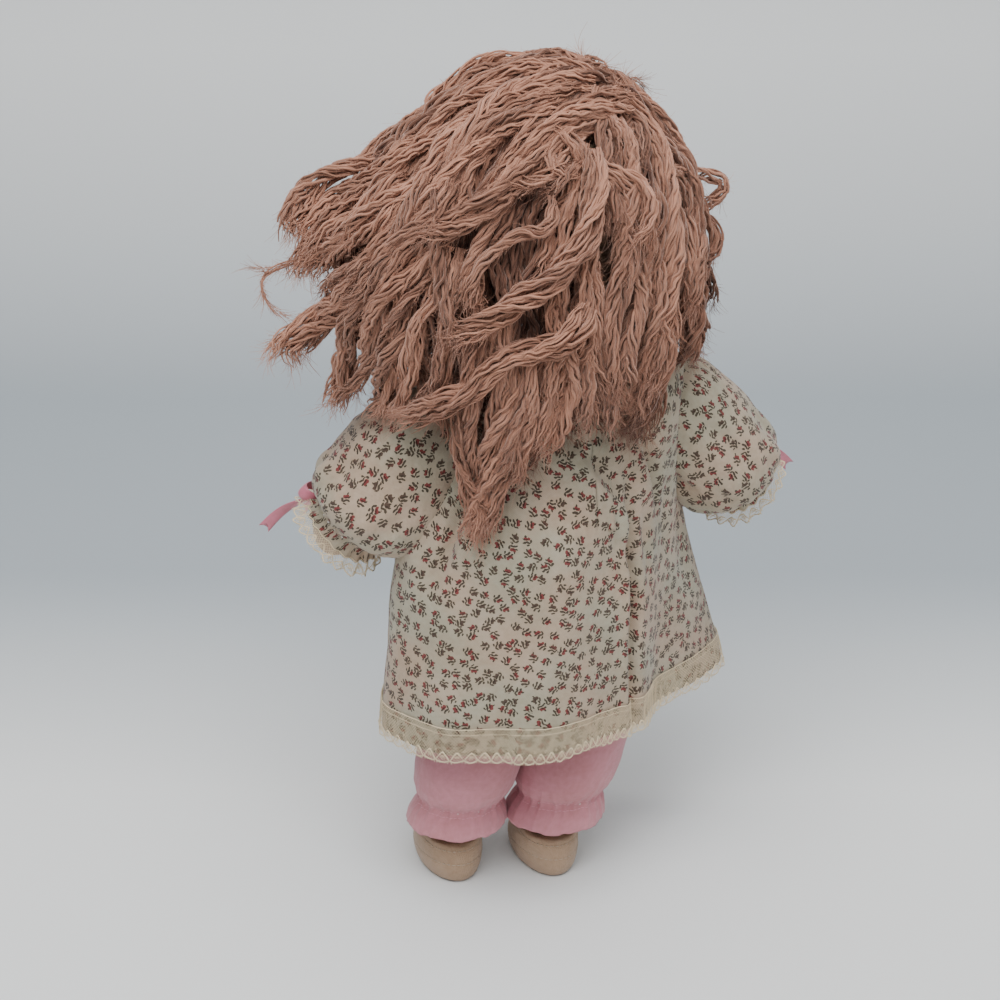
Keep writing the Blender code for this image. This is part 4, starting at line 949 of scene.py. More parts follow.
DRESS_COLUMNS = 264
DRESS_ROWS = 64
YOKE_ROWS = 22
SEAM_TURN = pi / 36
OPENING_LOW = 0.1735
OPENING_HALF = 0.1 * MM
OPENING_GAP = 0.12 * MM
HEM_DROP = 2.8 * MM
ARMHOLE = 14.5 * MM
ARMHOLE_FIRST = 2 * MM
ARMHOLE_LAST = 17 * MM
ARM_CLEAR = 13.5 * MM
HEM_LACE_TALL = 15 * MM
HEM_LACE_PROUD = 4.5 * MM
HEM_LACE_RAGGED = 1.3 * MM


def soften(rows, along, round_turns):
    """Evens out a closed grid of reaches, which the solid's flat facets leave in steps."""
    def kernel(width):
        span = np.arange(-int(3 * width) - 1, int(3 * width) + 2)
        weight = np.exp(-0.5 * (span / width) ** 2)
        return span, weight / weight.sum()

    span, weight = kernel(round_turns)
    rows = sum(np.roll(rows, -shift, axis=1) * w for shift, w in zip(span, weight))
    span, weight = kernel(along)
    index = np.clip(np.arange(len(rows))[:, None] + span[None], 0, len(rows) - 1)
    return (rows[index] * weight[None, :, None]).sum(axis=1)


def hills(places, size, seed):
    """A smooth random field from -1 to 1 over places, its hills about as wide as size."""
    flat = np.asarray(places).reshape(-1, 3) / size + seed * 7.31
    found = np.array([noise.noise(Vector(p)) for p in flat])
    return found.reshape(np.asarray(places).shape[:-1])


def dress_shape():
    """The dress as a grid of points: from the hem up, and round from the left seam by the back."""
    tree = solid_tree("dress_front", "dress_back")
    lace = solid_tree("neck_lace")
    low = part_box("dress_back")[0][2]
    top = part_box("dress_back")[1][2]
    axis_y = joint_place("neck_turn").y
    shoulder = joint_place("shoulder_left").z - 13 * MM
    angles = SEAM_TURN + 2 * pi * np.arange(DRESS_COLUMNS) / DRESS_COLUMNS
    ways = [Vector((cos(a), sin(a), 0)) for a in angles]
    heights = np.linspace(low + 0.3 * MM, shoulder, DRESS_ROWS)
    reaches = []
    for z in heights:
        centre = Vector((0, axis_y, z))
        row = [reach(tree, centre, way) for way in ways]
        reaches.append(fill_row(row, 22 * MM if z < 0.19 else 24 * MM))
    reaches = soften(np.array(reaches), 3.5, 3.0)
    body = np.empty((DRESS_ROWS, DRESS_COLUMNS, 3))
    body[..., 0] = reaches * np.cos(angles)
    body[..., 1] = axis_y + reaches * np.sin(angles)
    body[..., 2] = heights[:, None]

    below = body[:1] + (body[:1] - body[4:5]) * (HEM_DROP / (heights[4] - heights[0]))
    body = np.vstack([below, body])

    centre = Vector((0, axis_y, shoulder))
    neck_height = top + 0.6 * MM
    neck = [reach(lace, Vector((0, axis_y, neck_height + 1.5 * MM)), way) for way in ways]
    neck = fill_row(neck, 5 * MM)
    edge_rise = np.arctan2(neck_height - shoulder, neck)
    yoke = np.empty((YOKE_ROWS, DRESS_COLUMNS))
    for row in range(YOKE_ROWS):
        share = (row + 1) / YOKE_ROWS
        found = []
        for k, way in enumerate(ways):
            rise = edge_rise[k] * share
            found.append(reach(tree, centre, way * cos(rise) + Vector((0, 0, sin(rise)))))
        found = fill_row(found, 14 * MM)
        edge = np.hypot(neck, neck_height - shoulder)
        blend = max(0.0, (share - 0.8) / 0.2)
        yoke[row] = found * (1 - blend) + edge * blend
    yoke = soften(np.vstack([reaches[-1:], yoke]), 1.2, 3.0)[1:]
    share = (np.arange(YOKE_ROWS) + 1)[:, None] / YOKE_ROWS
    rise = edge_rise[None] * share
    upper = np.empty((YOKE_ROWS, DRESS_COLUMNS, 3))
    upper[..., 0] = yoke * np.cos(rise) * np.cos(angles)
    upper[..., 1] = axis_y + yoke * np.cos(rise) * np.sin(angles)
    upper[..., 2] = shoulder + yoke * np.sin(rise)
    return np.vstack([body, upper]), angles


def grid_normals(rows):
    around = np.roll(rows, -1, axis=1) - np.roll(rows, 1, axis=1)
    up = np.gradient(rows, axis=0)
    return unit(np.cross(around, up))


# Creases of the dress: turn round the doll in degrees and height in millimetres, at both ends,
# then depth and half width in millimetres. A negative depth stands proud.
DRESS_CREASES = (
    (114, 194, 118, 122, 4.6, 2.4), (116, 150, 121, 76, 4.6, 2.6), (110, 192, 113, 124, -2.2, 2.8),
    (112, 150, 116, 76, -2.2, 3.0), (38, 200, 21, 148, 4.6, 2.6), (43, 200, 27, 148, -1.8, 2.8),
    (123, 216, 144, 164, 4.2, 2.5), (86, 206, 113, 178, 2.6, 2.4), (84, 202, 112, 172, -1.8, 2.6),
    (99, 176, 120, 150, 2.6, 2.6), (97, 180, 111, 162, -1.6, 2.2), (91, 173, 88, 196, 1.2, 2.2),
    (124, 180, 131, 140, 2.2, 3.0), (60, 180, 66, 146, 2.0, 3.2), (30, 180, 38, 150, 1.5, 3.6),
    (16, 172, 24, 136, -1.2, 4.0), (148, 186, 152, 150, 1.4, 3.6), (46, 140, 50, 96, 0.9, 5.0),
    (76, 150, 80, 100, -0.8, 6.0), (112, 130, 116, 92, 0.9, 5.0), (170, 170, 176, 120, 1.2, 4.0),
    (250, 170, 246, 100, 1.0, 5.0), (290, 172, 296, 100, 1.2, 5.0), (225, 150, 220, 95, 0.9, 4.0),
    (320, 160, 330, 110, 0.9, 5.0),
)


def dress_folds(rows, angles):
    """How far the cloth stands out or in at each point: gathers, soft folds and creases."""
    heights = rows[..., 2]
    low, top = heights.min(), heights.max()
    share = (heights - low) / (top - low)
    turns = np.broadcast_to(angles[None], heights.shape)
    move = hills(rows, 26 * MM, 1) * 1.1 * MM * (1 - 0.5 * share)
    move += hills(rows * np.array((1, 1, 0.35)), 11 * MM, 2) * 0.55 * MM
    move += hills(rows, 5.5 * MM, 3) * 0.22 * MM
    gathers = np.clip((share - 0.8) / 0.2, 0, 1) ** 1.4
    wander = hills(rows * np.array((1, 1, 0.2)), 12 * MM, 4) * 2.2
    move += gathers * 0.75 * MM * np.cos(46 * turns + wander)
    around = np.hypot(rows[..., 0], rows[..., 1] + 0.007)
    for turn_a, high_a, turn_b, high_b, depth, half in DRESS_CREASES:
        start = np.array((radians(turn_a), high_a * MM))
        end = np.array((radians(turn_b), high_b * MM))
        scale = 46 * MM
        way = (end - start) * np.array((scale, 1.0))
        length = np.hypot(*way)
        offset_a = (np.mod(turns - start[0] + pi, 2 * pi) - pi) * around
        offset_z = heights - start[1]
        along = np.clip((offset_a * way[0] + offset_z * way[1]) / length ** 2, 0, 1)
        gap = np.hypot(offset_a - way[0] * along, offset_z - way[1] * along)
        strength = np.sin(pi * np.clip(along, 0.04, 0.96)) ** 0.6
        move -= depth * MM * strength * np.exp(-(gap / (half * MM)) ** 2)
    return move


def opening_folds(rows):
    """The two edges of the back opening stand a little proud, one over the other."""
    place = opening_place()
    off = rows[..., 0] - place.x
    back = rows[..., 1] > 0
    above = np.clip((rows[..., 2] - OPENING_LOW) / (8 * MM), 0, 1)
    lift = np.exp(-(off / (3.0 * MM)) ** 2)
    over = np.where(off > 0, 1.5, 0.3)
    return np.where(back, above * lift * over * MM, 0.0)


def drawn_together(rows):
    """Brings the two edges of the back opening close to each other."""
    middle = opening_place().x
    for row in rows:
        if row[0, 2] < OPENING_LOW:
            continue
        back = np.flatnonzero((row[:-1, 1] > 0) & (row[:-1, 0] >= middle) & (row[1:, 0] < middle))
        if len(back):
            row[back[0], 0] = middle + OPENING_GAP
            row[back[0] + 1, 0] = middle - OPENING_GAP
    return rows


def opening_place():
    return box_middle("back_placket")


def cloth_places(rows, shift):
    """Flat places on the cloth in metres: across from the panel's middle, and up from its hem."""
    middle = rows.shape[1] // 2
    step = np.linalg.norm(np.diff(rows, axis=1), axis=2)
    run = np.concatenate([np.zeros((len(rows), 1)), np.cumsum(step, axis=1)], axis=1)
    across = run - run[:, middle:middle + 1]
    rise = np.linalg.norm(np.diff(rows[:, middle], axis=0), axis=1)
    up = np.concatenate([[0], np.cumsum(rise)])
    place = np.zeros(rows.shape)
    place[..., 0] = across + shift
    place[..., 1] = up[:, None] + shift * 2
    return place


def arm_offsets(places, side, word):
    """How far places lie along an arm, to its front and towards the body, and that last way."""
    way = unit(np.array((side * 0.62, -0.04, -0.78)))
    front = unit(np.array((0, 1, 0)) - way * way[1])
    inward = np.cross(way, front) * side
    inward = inward if inward[0] * side < 0 else -inward
    offset = places - np.array(joint_place("shoulder_" + word))
    return offset @ way, offset @ front, offset @ inward, inward


def pressed_by_arm(rows, side, word):
    """Below the armhole the dress lies between the arm and the body."""
    along, across, inside, inward = arm_offsets(rows, side, word)
    clear = np.sqrt(np.clip(ARM_CLEAR ** 2 - across ** 2, 0, None))
    near = (along > ARMHOLE_LAST - 2 * MM) & (np.abs(across) < ARM_CLEAR) & (rows[..., 0] * side > 0)
    push = np.where(near, np.clip(clear - inside, 0, None), 0.0)
    return rows + push[..., None] * inward


def make_dress():
    rows, angles = dress_shape()
    rows = rows + grid_normals(rows) * (dress_folds(rows, angles) + opening_folds(rows))[..., None]
    rows = drawn_together(rows)
    half = DRESS_COLUMNS // 2
    for side, word in SIDES:
        rows = pressed_by_arm(rows, side, word)

    def solid_cloth(places):
        open_here = np.zeros(len(places), dtype=bool)
        for side, word in SIDES:
            along, across, inward = arm_offsets(places, side, word)[:3]
            away = np.hypot(across, inward)
            here = (away < ARMHOLE) & (places[:, 0] * side > 0)
            open_here |= here & (along > ARMHOLE_FIRST) & (along < ARMHOLE_LAST)
        slit = (np.abs(places[:, 0] - opening_place().x) < OPENING_HALF) & (places[:, 1] > 0)
        open_here |= slit & (places[:, 2] > OPENING_LOW)
        return ~open_here

    panels = {}
    for name, node, first, shift in (("dress_back_cloth", "dress_back", 0, 0.0),
                                     ("dress_front_cloth", "dress_front", half, 0.371)):
        columns = np.arange(first, first + half + 1) % DRESS_COLUMNS
        part = rows[:, columns]
        panel = cloth_grid(name, part, CALICO, False, cloth_places(part, shift), COTTON, solid_cloth)
        place_on(panel, "torso", "calico", node)
        panels[name] = panel
    return rows, angles, panels


def make_placket():
    """The strip of cloth that closes the back opening from inside."""
    tree = solid_tree("back_placket")
    low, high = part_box("back_placket")
    columns = np.linspace(low[0] + 0.3 * MM, high[0] - 0.3 * MM, 9)
    heights = np.linspace(low[2] + 0.3 * MM, high[2] - 0.3 * MM, 46)
    rows = np.empty((46, 9, 3))
    depth = box_middle("back_placket").y
    for row, z in enumerate(heights):
        for column, x in enumerate(columns):
            hit = tree.ray_cast(Vector((x, high[1] + 0.01, z)), Vector((0, -1, 0)), 0.05)[0]
            depth = hit.y if hit is not None else depth
            rows[row, column] = (x, depth, z)
    rows[..., 1] -= 0.2 * MM
    rows[..., 1] += hills(rows, 9 * MM, 5) * 0.12 * MM
    strip = cloth_grid("placket_cloth", rows, CALICO, False, cloth_places(rows, 0.613), COTTON)
    place_on(strip, "torso", "calico", "back_placket")


# Lace

LACE_NET = 1.0 * MM
LACE_REPEAT = 4.6 * MM
LACE_STEP = 0.6 * MM
ARC_THREAD = 0.19 * MM
PICOTS = 5


class LaceBand:
    """A band of lace on a closed grid of points: v runs from the free edge up, u once round."""

    def __init__(self, rows, tall, off):
        self.rows = rows
        self.normals = grid_normals(rows)
        self.tall = tall
        self.off = off
        self.long = np.linalg.norm(rows[-1] - np.roll(rows[-1], -1, axis=0), axis=1).sum()
        self.threads = Threads()

    def place(self, u, v, lift=0.0):
        """Points at u and v in metres along and up the band."""
        count = self.rows.shape[1]
        column = np.mod(np.asarray(u) / self.long, 1.0) * count
        row = np.clip(np.asarray(v) / self.tall, 0, 1) * (len(self.rows) - 1.001)
        c, r = np.floor(column).astype(int) % count, np.floor(row).astype(int)
        s, t = (column - np.floor(column))[..., None], (row - r)[..., None]
        after = (c + 1) % count

        def read(grid):
            low = grid[r, c] * (1 - s) + grid[r, after] * s
            high = grid[r + 1, c] * (1 - s) + grid[r + 1, after] * s
            return low * (1 - t) + high * t

        return read(self.rows) + unit(read(self.normals)) * (self.off + np.asarray(lift))[..., None]

    def thread(self, u, v, radius, lift=0.0, sides=4, tone=None, closed=False):
        tone = chance.random() if tone is None else tone
        points = self.place(u, v, np.broadcast_to(lift, np.shape(u)))
        self.threads.tube(points, radius, sides, tone, closed)

    def around(self, height, radius, lift=0.0, waves=0, swing=0.0, step=LACE_STEP, tone=0.7):
        """A thread all the way round, which may swing up and down."""
        count = int(self.long / step)
        u = np.arange(count) * self.long / count
        v = height + swing * np.sin(2 * pi * waves * u / self.long)
        self.thread(u, v, radius, lift, 5, tone, closed=True)

    def net(self, low, high, cell=LACE_NET, radius=LACE_THREAD * 0.46):
        """Diagonal threads both ways, which cross in small diamonds."""
        count = int(self.long / cell)
        steps = max(int((high - low) / (0.9 * MM)), 2) + 1
        share = np.linspace(0, 1, steps)
        for way in (1, -1):
            for k in range(count):
                start = self.long * (k + 0.2 * chance.random()) / count
                u = start + way * share * (high - low) * 0.72
                self.thread(u, low + share * (high - low), radius, way * radius * 0.8)


def oval_loop(band, u, v, wide, tall, radius, lift, turn=0.0, count=12):
    angle = 2 * pi * np.arange(count) / count
    x, y = wide * np.cos(angle), tall * np.sin(angle)
    band.thread(u + x * cos(turn) - y * sin(turn), v + x * sin(turn) + y * cos(turn), radius, lift, 4,
                closed=True)


def worked_lace(band, wide):
    """Draws the pattern: net, a row of pointed arcs with a flower in each, scallops and picots."""
    tall = band.tall
    repeats = max(int(round(band.long / LACE_REPEAT)), 6)
    pitch = band.long / repeats
    band.around(tall - 0.5 * MM, 0.16 * MM, 0.1 * MM)
    band.net(1.0 * MM, tall - 0.4 * MM)
    scallop = 1.0 * MM
    foot = 1.6 * MM
    point = foot + min(3.4 * MM, tall * 0.42)
    if wide:
        band.around(tall - 3.0 * MM, 0.1 * MM, 0.1 * MM)
    for k in range(repeats):
        left, middle = pitch * k, pitch * (k + 0.5)
        for layer in range(2):
            share = np.linspace(-1, 1, 9)
            rise = (point - foot - layer * 0.35 * MM) * (1 - np.abs(share) ** 1.5)
            band.thread(middle + share * pitch * 0.46, foot + rise, ARC_THREAD, 0.18 * MM, 4, 0.9)
        flower = foot + (point - foot) * 0.38
        for petal in range(4):
            turn = 2 * pi * (petal + 0.5) / 4
            oval_loop(band, middle + 0.55 * MM * cos(turn), flower + 0.55 * MM * sin(turn), 0.42 * MM,
                      0.26 * MM,
                      0.1 * MM, 0.12 * MM, turn, 8)
        if wide:
            oval_loop(band, left, point + 0.9 * MM, 0.36 * MM, 0.46 * MM, 0.09 * MM, 0.12 * MM, count=8)
        share = np.linspace(0, 1, 9)
        for layer in range(2):
            v = 1.2 * MM + layer * 0.3 * MM - scallop * np.sin(pi * share)
            band.thread(left + pitch * share, v, 0.15 * MM, 0.05 * MM * layer, 4, 0.6 + 0.3 * layer)
        for j in range(PICOTS):
            s = (j + 0.5) / PICOTS
            edge = 1.1 * MM - scallop * sin(pi * s)
            length = (0.8 + 0.5 * chance.random()) * MM
            lean = (chance.random() - 0.5) * 0.4 * MM
            u = left + pitch * s
            band.thread(u + np.array((-0.12 * MM, lean - 0.06 * MM, lean + 0.06 * MM, 0.12 * MM)),
                        np.maximum(edge - np.array((0, length, length, 0)), 0.02 * MM), 0.085 * MM, 0.0, 4)


def cloth_band(rows, angles, low, high, count, ripple, waves):
    """Rows that lie on the skirt from below its hem up to a height, for the lace."""
    heights = np.linspace(low, high, count)
    first = rows[0]
    slope = (rows[0] - rows[3]) / np.maximum(rows[3][:, 2:] - rows[0][:, 2:], 1e-6)
    slope = sum(np.roll(slope, k, axis=0) for k in range(-6, 7)) / 13
    out = []
    for z in heights:
        if z < first[0, 2]:
            out.append(first + slope * (first[:, 2:] - z))
            continue
        column = []
        for k in range(rows.shape[1]):
            column.append([np.interp(z, rows[:, k, 2], rows[:, k, axis]) for axis in range(2)] + [z])
        out.append(np.array(column))
    band = np.array(out)
    share = ((high - heights) / (high - low))[:, None]
    wander = hills(band, 20 * MM, 8) * 2
    lift = (0.2 + share) * ripple * (0.5 + 0.5 * np.sin(waves * angles[None] + wander))
    band = band + grid_normals(band) * lift[..., None]
    band[..., 2] += share * hills(band * np.array((1, 1, 0)), 7 * MM, 9) * HEM_LACE_RAGGED
    return band


def make_hem_lace(rows, angles):
    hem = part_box("dress_back")[0][2]
    body_rows = rows[:DRESS_ROWS]
    band_rows = cloth_band(body_rows, angles, hem - HEM_LACE_PROUD - 1.0 * MM,
                           hem + HEM_LACE_TALL - HEM_LACE_PROUD,
                           19, 0.7 * MM, 74)
    band = LaceBand(band_rows, HEM_LACE_TALL + 1.0 * MM, 0.55 * MM)
    worked_lace(band, True)
    lace = band.threads.build("hem_lace_threads", LACE)
    place_on(lace, "torso", "lace_thread", "hem_lace")
    return lace


def make_neck_lace(rows):
    low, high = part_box("neck_lace")
    edge = rows[-1]
    middle = edge.mean(axis=0)
    out = edge - middle
    out[:, 2] = 0
    out = unit(out)
    count = 9
    grid = []
    angle = np.arange(len(edge)) * 2 * pi / len(edge)
    for k in range(count):
        share = 1 - k / (count - 1)
        level = edge.copy()
        level[:, 2] = low[2] + (high[2] - low[2]) * share - 0.3 * MM
        level += out * (0.2 * MM + 1.6 * MM * share + 0.8 * MM * share * np.sin(26 * angle))[:, None]
        grid.append(level)
    band = LaceBand(np.array(grid), high[2] - low[2], 0.1 * MM)
    worked_lace(band, False)
    place_on(band.threads.build("neck_lace_threads", LACE), "torso", "lace_thread", "neck_lace")


# Sleeves, cuffs and bows

# The arm's way from the shoulder: outward, backward and up
ELBOW = (30 * MM, -2 * MM, -38 * MM)
WRIST = (46 * MM, -12 * MM, -60 * MM)
PALM = (46 * MM, -30 * MM, -65 * MM)
FINGERTIP = (41 * MM, -46 * MM, -67 * MM)
# Share along the sleeve, and the sleeve's radius there in millimetres
SLEEVE_PROFILE = (
    (0.0, 11.5), (0.03, 16.5), (0.06, 19.8), (0.12, 22.6), (0.3, 26.0), (0.5, 27.0), (0.66, 26.2),
    (0.78, 22.6), (0.855, 15.6), (0.9, 13.6), (0.945, 14.2), (1.0, 16.6),
)
SLEEVE_FIRST = 0.004
SLEEVE_LAST = 0.466
CUFF_RAISE = 5 * MM
CUFF_TILT = 5 * MM
SLEEVE_FULLNESS = {1: 1.04, -1: 0.95}
SLEEVE_ROWS = 72
SLEEVE_COLUMNS = 160
CUFF_AT = 0.9
CUFF_LACE_WIDE = 7.0 * MM
ELASTIC_INSIDE = 0.7 * MM
ELASTIC_THIN = 0.6 * MM
CUFF_RIPPLES = 19


def arm_points(side, word):
    shoulder = np.array(joint_place("shoulder_" + word))
    return [shoulder] + [shoulder + np.array((side * x, y, z)) for x, y,
                         z in (ELBOW, WRIST, PALM, FINGERTIP)]


def arm_place(points, share):
    """A smooth place on the arm's way at a share of it, and the direction there."""
    def at(share):
        runs = len(points) - 1
        place = min(max(share, 0.0), 0.9999) * runs
        k = int(place)
        t = place - k
        before = points[k - 1] if k else points[0] * 2 - points[1]
        after = points[k + 2] if k + 2 <= runs else points[-1] * 2 - points[-2]
        a, b = points[k], points[k + 1]
        return (a * 2 + (b - before) * t + (before * 2 - a * 5 + b * 4 - after) * t * t
                + (a * 3 - before - b * 3 + after) * t ** 3) / 2

    way = at(share + 0.01) - at(share - 0.01)
    return at(share), way / np.linalg.norm(way)


def ring_ways(way, side, angles):
    start = np.array((side, 0.0, 0.5))
    start = start - way * (start @ way)
    start /= np.linalg.norm(start)
    other = np.cross(way, start)
    return start[None] * np.cos(angles)[:, None] + other[None] * np.sin(angles)[:, None]


# Creases of a sleeve: share along and turn in degrees at both ends, depth and half width in millimetres
SLEEVE_CREASES = (
    (0.1, 20, 0.52, 48, 1.3, 3.0), (0.16, 96, 0.62, 112, 1.4, 3.2), (0.34, 150, 0.8, 158, 1.3, 3.0),
    (0.3, 330, 0.78, 342, 1.2, 3.2), (0.42, 62, 0.84, 74, 1.2, 2.6), (0.46, 8, 0.84, 16, 1.1, 2.4),
    (0.5, 122, 0.85, 128, 1.1, 2.6), (0.12, 210, 0.56, 226, 1.2, 3.4),
    (0.44, 270, 0.84, 282, 1.2, 3.0), (0.08, 300, 0.4, 296, 1.0, 3.0),
)


def sleeve_rows(side, word):
    points = arm_points(side, word)
    angles = 2 * pi * np.arange(SLEEVE_COLUMNS) / SLEEVE_COLUMNS
    profile = np.array(SLEEVE_PROFILE)
    shares = np.linspace(0, 1, SLEEVE_ROWS)
    radii = np.interp(shares, profile[:, 0], profile[:, 1]) * MM * SLEEVE_FULLNESS[side]
    even = np.exp(-0.5 * (np.arange(-6, 7) / 2.2) ** 2)
    radii = np.convolve(np.pad(radii, 6, mode="edge"), even / even.sum(), "valid")
    rows, outs = [], []
    for share, radius in zip(shares, radii):
        centre, way = arm_place(points, SLEEVE_FIRST + (SLEEVE_LAST - SLEEVE_FIRST) * share)
        out = ring_ways(way, side, angles)
        rows.append(centre + out * radius)
        outs.append(out)
    rows, outs = np.array(rows), np.array(outs)
    share = shares[:, None]
    seed = 11 if side > 0 else 17
    move = hills(rows, 17 * MM, seed) * 1.3 * MM * np.sin(pi * np.clip(share, 0.05, 0.8) / 0.85)
    move += hills(rows, 7 * MM, seed + 1) * 0.55 * MM
    move += hills(rows, 3.2 * MM, seed + 2) * 0.12 * MM
    wander = hills(rows * 0.6, 9 * MM, seed + 3) * 2.4
    start = np.clip(1 - share / 0.22, 0, 1) ** 1.2
    cuff = np.clip(1 - np.abs(share - CUFF_AT) / 0.22, 0, 1) ** 1.3
    edge = np.clip((share - 0.92) / 0.08, 0, 1)
    uneven = 0.7 + 0.5 * hills(rows * 0.4, 6 * MM, seed + 4)
    move += start * uneven * 0.65 * MM * np.cos(24 * angles[None] + wander)
    move += cuff * uneven * 0.85 * MM * np.cos(22 * angles[None] + wander * 0.8)
    move += edge * 0.5 * MM * np.cos(CUFF_RIPPLES * angles[None] + wander * 0.5)
    for s0, a0, s1, a1, depth, half in SLEEVE_CREASES:
        length = 52 * MM
        turn = radians(a0 if side > 0 else 180 - a0)
        swing = radians(a1 - a0) * side
        x = (np.mod(angles[None] - turn + pi, 2 * pi) - pi) * 24 * MM
        y = (share - s0) * length
        way = np.array((swing * 24 * MM, (s1 - s0) * length))
        along = np.clip((x * way[0] + y * way[1]) / (way @ way), 0, 1)
        gap = np.hypot(x - way[0] * along, y - way[1] * along)
        strength = np.sin(pi * np.clip(along, 0.05, 0.95)) ** 0.6
        move -= depth * MM * strength * np.exp(-(gap / (half * MM)) ** 2)
        move += depth * 0.35 * MM * strength * np.exp(-((gap - half * 1.9 * MM) / (half * MM)) ** 2)
    rows = rows + outs * move[..., None]
    rows[..., 2] -= (np.sin(pi * np.clip(share, 0, 0.88) / 0.88) * 1.3 * MM)
    behind = np.clip(np.array(outs)[..., 1], 0, 1)
    outer = np.clip(side * outs[..., 0], 0, 1)
    rows[..., 2] += (behind * CUFF_RAISE + outer * CUFF_TILT) * np.clip((share - 0.5) / 0.5, 0, 1)
    return rows, angles


def ring_cloth(rows, shift):
    """Flat places for cloth that closes round a limb."""
    middle = rows.mean(axis=1)
    run = np.concatenate([[0], np.cumsum(np.linalg.norm(np.diff(middle, axis=0), axis=1))])
    radius = np.linalg.norm(rows - middle[:, None], axis=2).mean(axis=1).max()
    angles = 2 * pi * np.arange(rows.shape[1]) / rows.shape[1]
    angles = np.where(angles > pi, 2 * pi - angles, angles)
    place = np.zeros(rows.shape)
    place[..., 0] = angles[None] * radius + shift
    place[..., 1] = run[:, None] + shift
    return place


def elastic_ring(name, ring, body, node):
    """The elastic that draws a cuff in, just inside the gathered cloth."""
    even = sum(np.roll(ring, k, axis=0) for k in range(-9, 10)) / 19
    inside = even - unit(even - even.mean(axis=0)) * ELASTIC_INSIDE
    threads = Threads()
    threads.tube(inside[::2], ELASTIC_THIN, 8, 0.5, closed=True)
    place_on(threads.build(name, ELASTIC), body, "elastic_rubber", node)


def make_sleeves():
    for side, word in SIDES:
        rows, angles = sleeve_rows(side, word)
        sleeve = cloth_grid("sleeve_cloth_" + word, rows, CALICO, True,
                            ring_cloth(rows, 0.17 + 0.2 * side), COTTON)
        points = arm_points(side, word)
        start, way = arm_place(points, SLEEVE_FIRST)
        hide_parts("sleeve_" + word)
        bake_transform(sleeve)
        elastic_ring("cuff_elastic_ring_" + word, rows[round(CUFF_AT * (SLEEVE_ROWS - 1))], "arm_" + word,
                     "cuff_elastic_" + word)
        make_cuff_lace(side, word, rows)
        make_bow(side, word, rows)


def make_cuff_lace(side, word, rows):
    edge = rows[-1]
    out = unit(rows[-1] - rows[-6])
    out = sum(np.roll(out, k, axis=0) for k in range(-3, 4)) / 7
    middle = edge.mean(axis=0)
    angle = 2 * pi * np.arange(len(edge)) / len(edge)
    grid = []
    count = 10
    uneven = hills(edge, 5 * MM, 21 if side > 0 else 27)
    for k in range(count):
        share = 1 - k / (count - 1)
        level = edge + out * (CUFF_LACE_WIDE * share - 1.2 * MM)
        away = unit(edge - middle)
        ripple = 0.4 * np.cos(CUFF_RIPPLES * angle + 2.5 * uneven) + 0.9 * uneven
        level = level + away * ((share * (0.6 + ripple) + 0.3) * MM)[:, None]
        grid.append(level)
    band = LaceBand(np.array(grid), CUFF_LACE_WIDE, 0.1 * MM)
    worked_lace(band, False)
    place_on(band.threads.build("cuff_lace_threads_" + word, LACE), "arm_" + word, "lace_thread",
             "cuff_lace_" + word)


RIBBON_HALF = 2.5 * MM
BOW_LOOP = 9.5 * MM
BOW_TAIL = 27 * MM
KNOT_RADIUS = 2.6 * MM
CUFF_OUT = 16 * MM


class Strips:
    """Collects flat ribbon strips for one mesh."""

    def __init__(self):
        self.points, self.quads, self.places = [], [], []
        self.count = 0

    def strip(self, path, across, half=RIBBON_HALF, cup=0.4 * MM, notch=0.0, narrow=None):
        """path and across: points and width directions along the ribbon."""
        path = np.asarray(path, dtype=float)
        way = unit(np.gradient(path, axis=0))
        across = np.broadcast_to(across, path.shape)
        across = unit(across - way * (across * way).sum(axis=1)[:, None])
        up = np.cross(way, across)
        columns = 9
        share = np.linspace(-1, 1, columns)
        width = np.full(len(path), half) if narrow is None else half * narrow
        grid = path[:, None] + across[:, None] * (share[None] * width[:, None])[..., None]
        grid = grid + up[:, None] * (cup * (1 - share ** 2))[None, :, None]
        if notch:
            grid[-1] -= way[-1] * (notch * (1 - np.abs(share)))[:, None]
        run = np.concatenate([[0], np.cumsum(np.linalg.norm(np.diff(path, axis=0), axis=1))])
        place = np.zeros(grid.shape)
        place[..., 0] = share[None] * half
        place[..., 1] = run[:, None] + self.count * 0.01
        self.points.append(grid.reshape(-1, 3))
        self.places.append(place.reshape(-1, 3))
        self.quads.append(grid_quads(len(path), columns, False) + self.count)
        self.count += len(path) * columns

    def build(self, name, look, thick=SATIN):
        item = make_object(name, np.vstack(self.points), np.vstack(self.quads), look)
        point_values(item, "cloth", np.vstack(self.places))
        wall = item.modifiers.new("ribbon", "SOLIDIFY")
        wall.thickness = thick
        wall.offset = 0.0
        apply_modifiers(item)
        return item


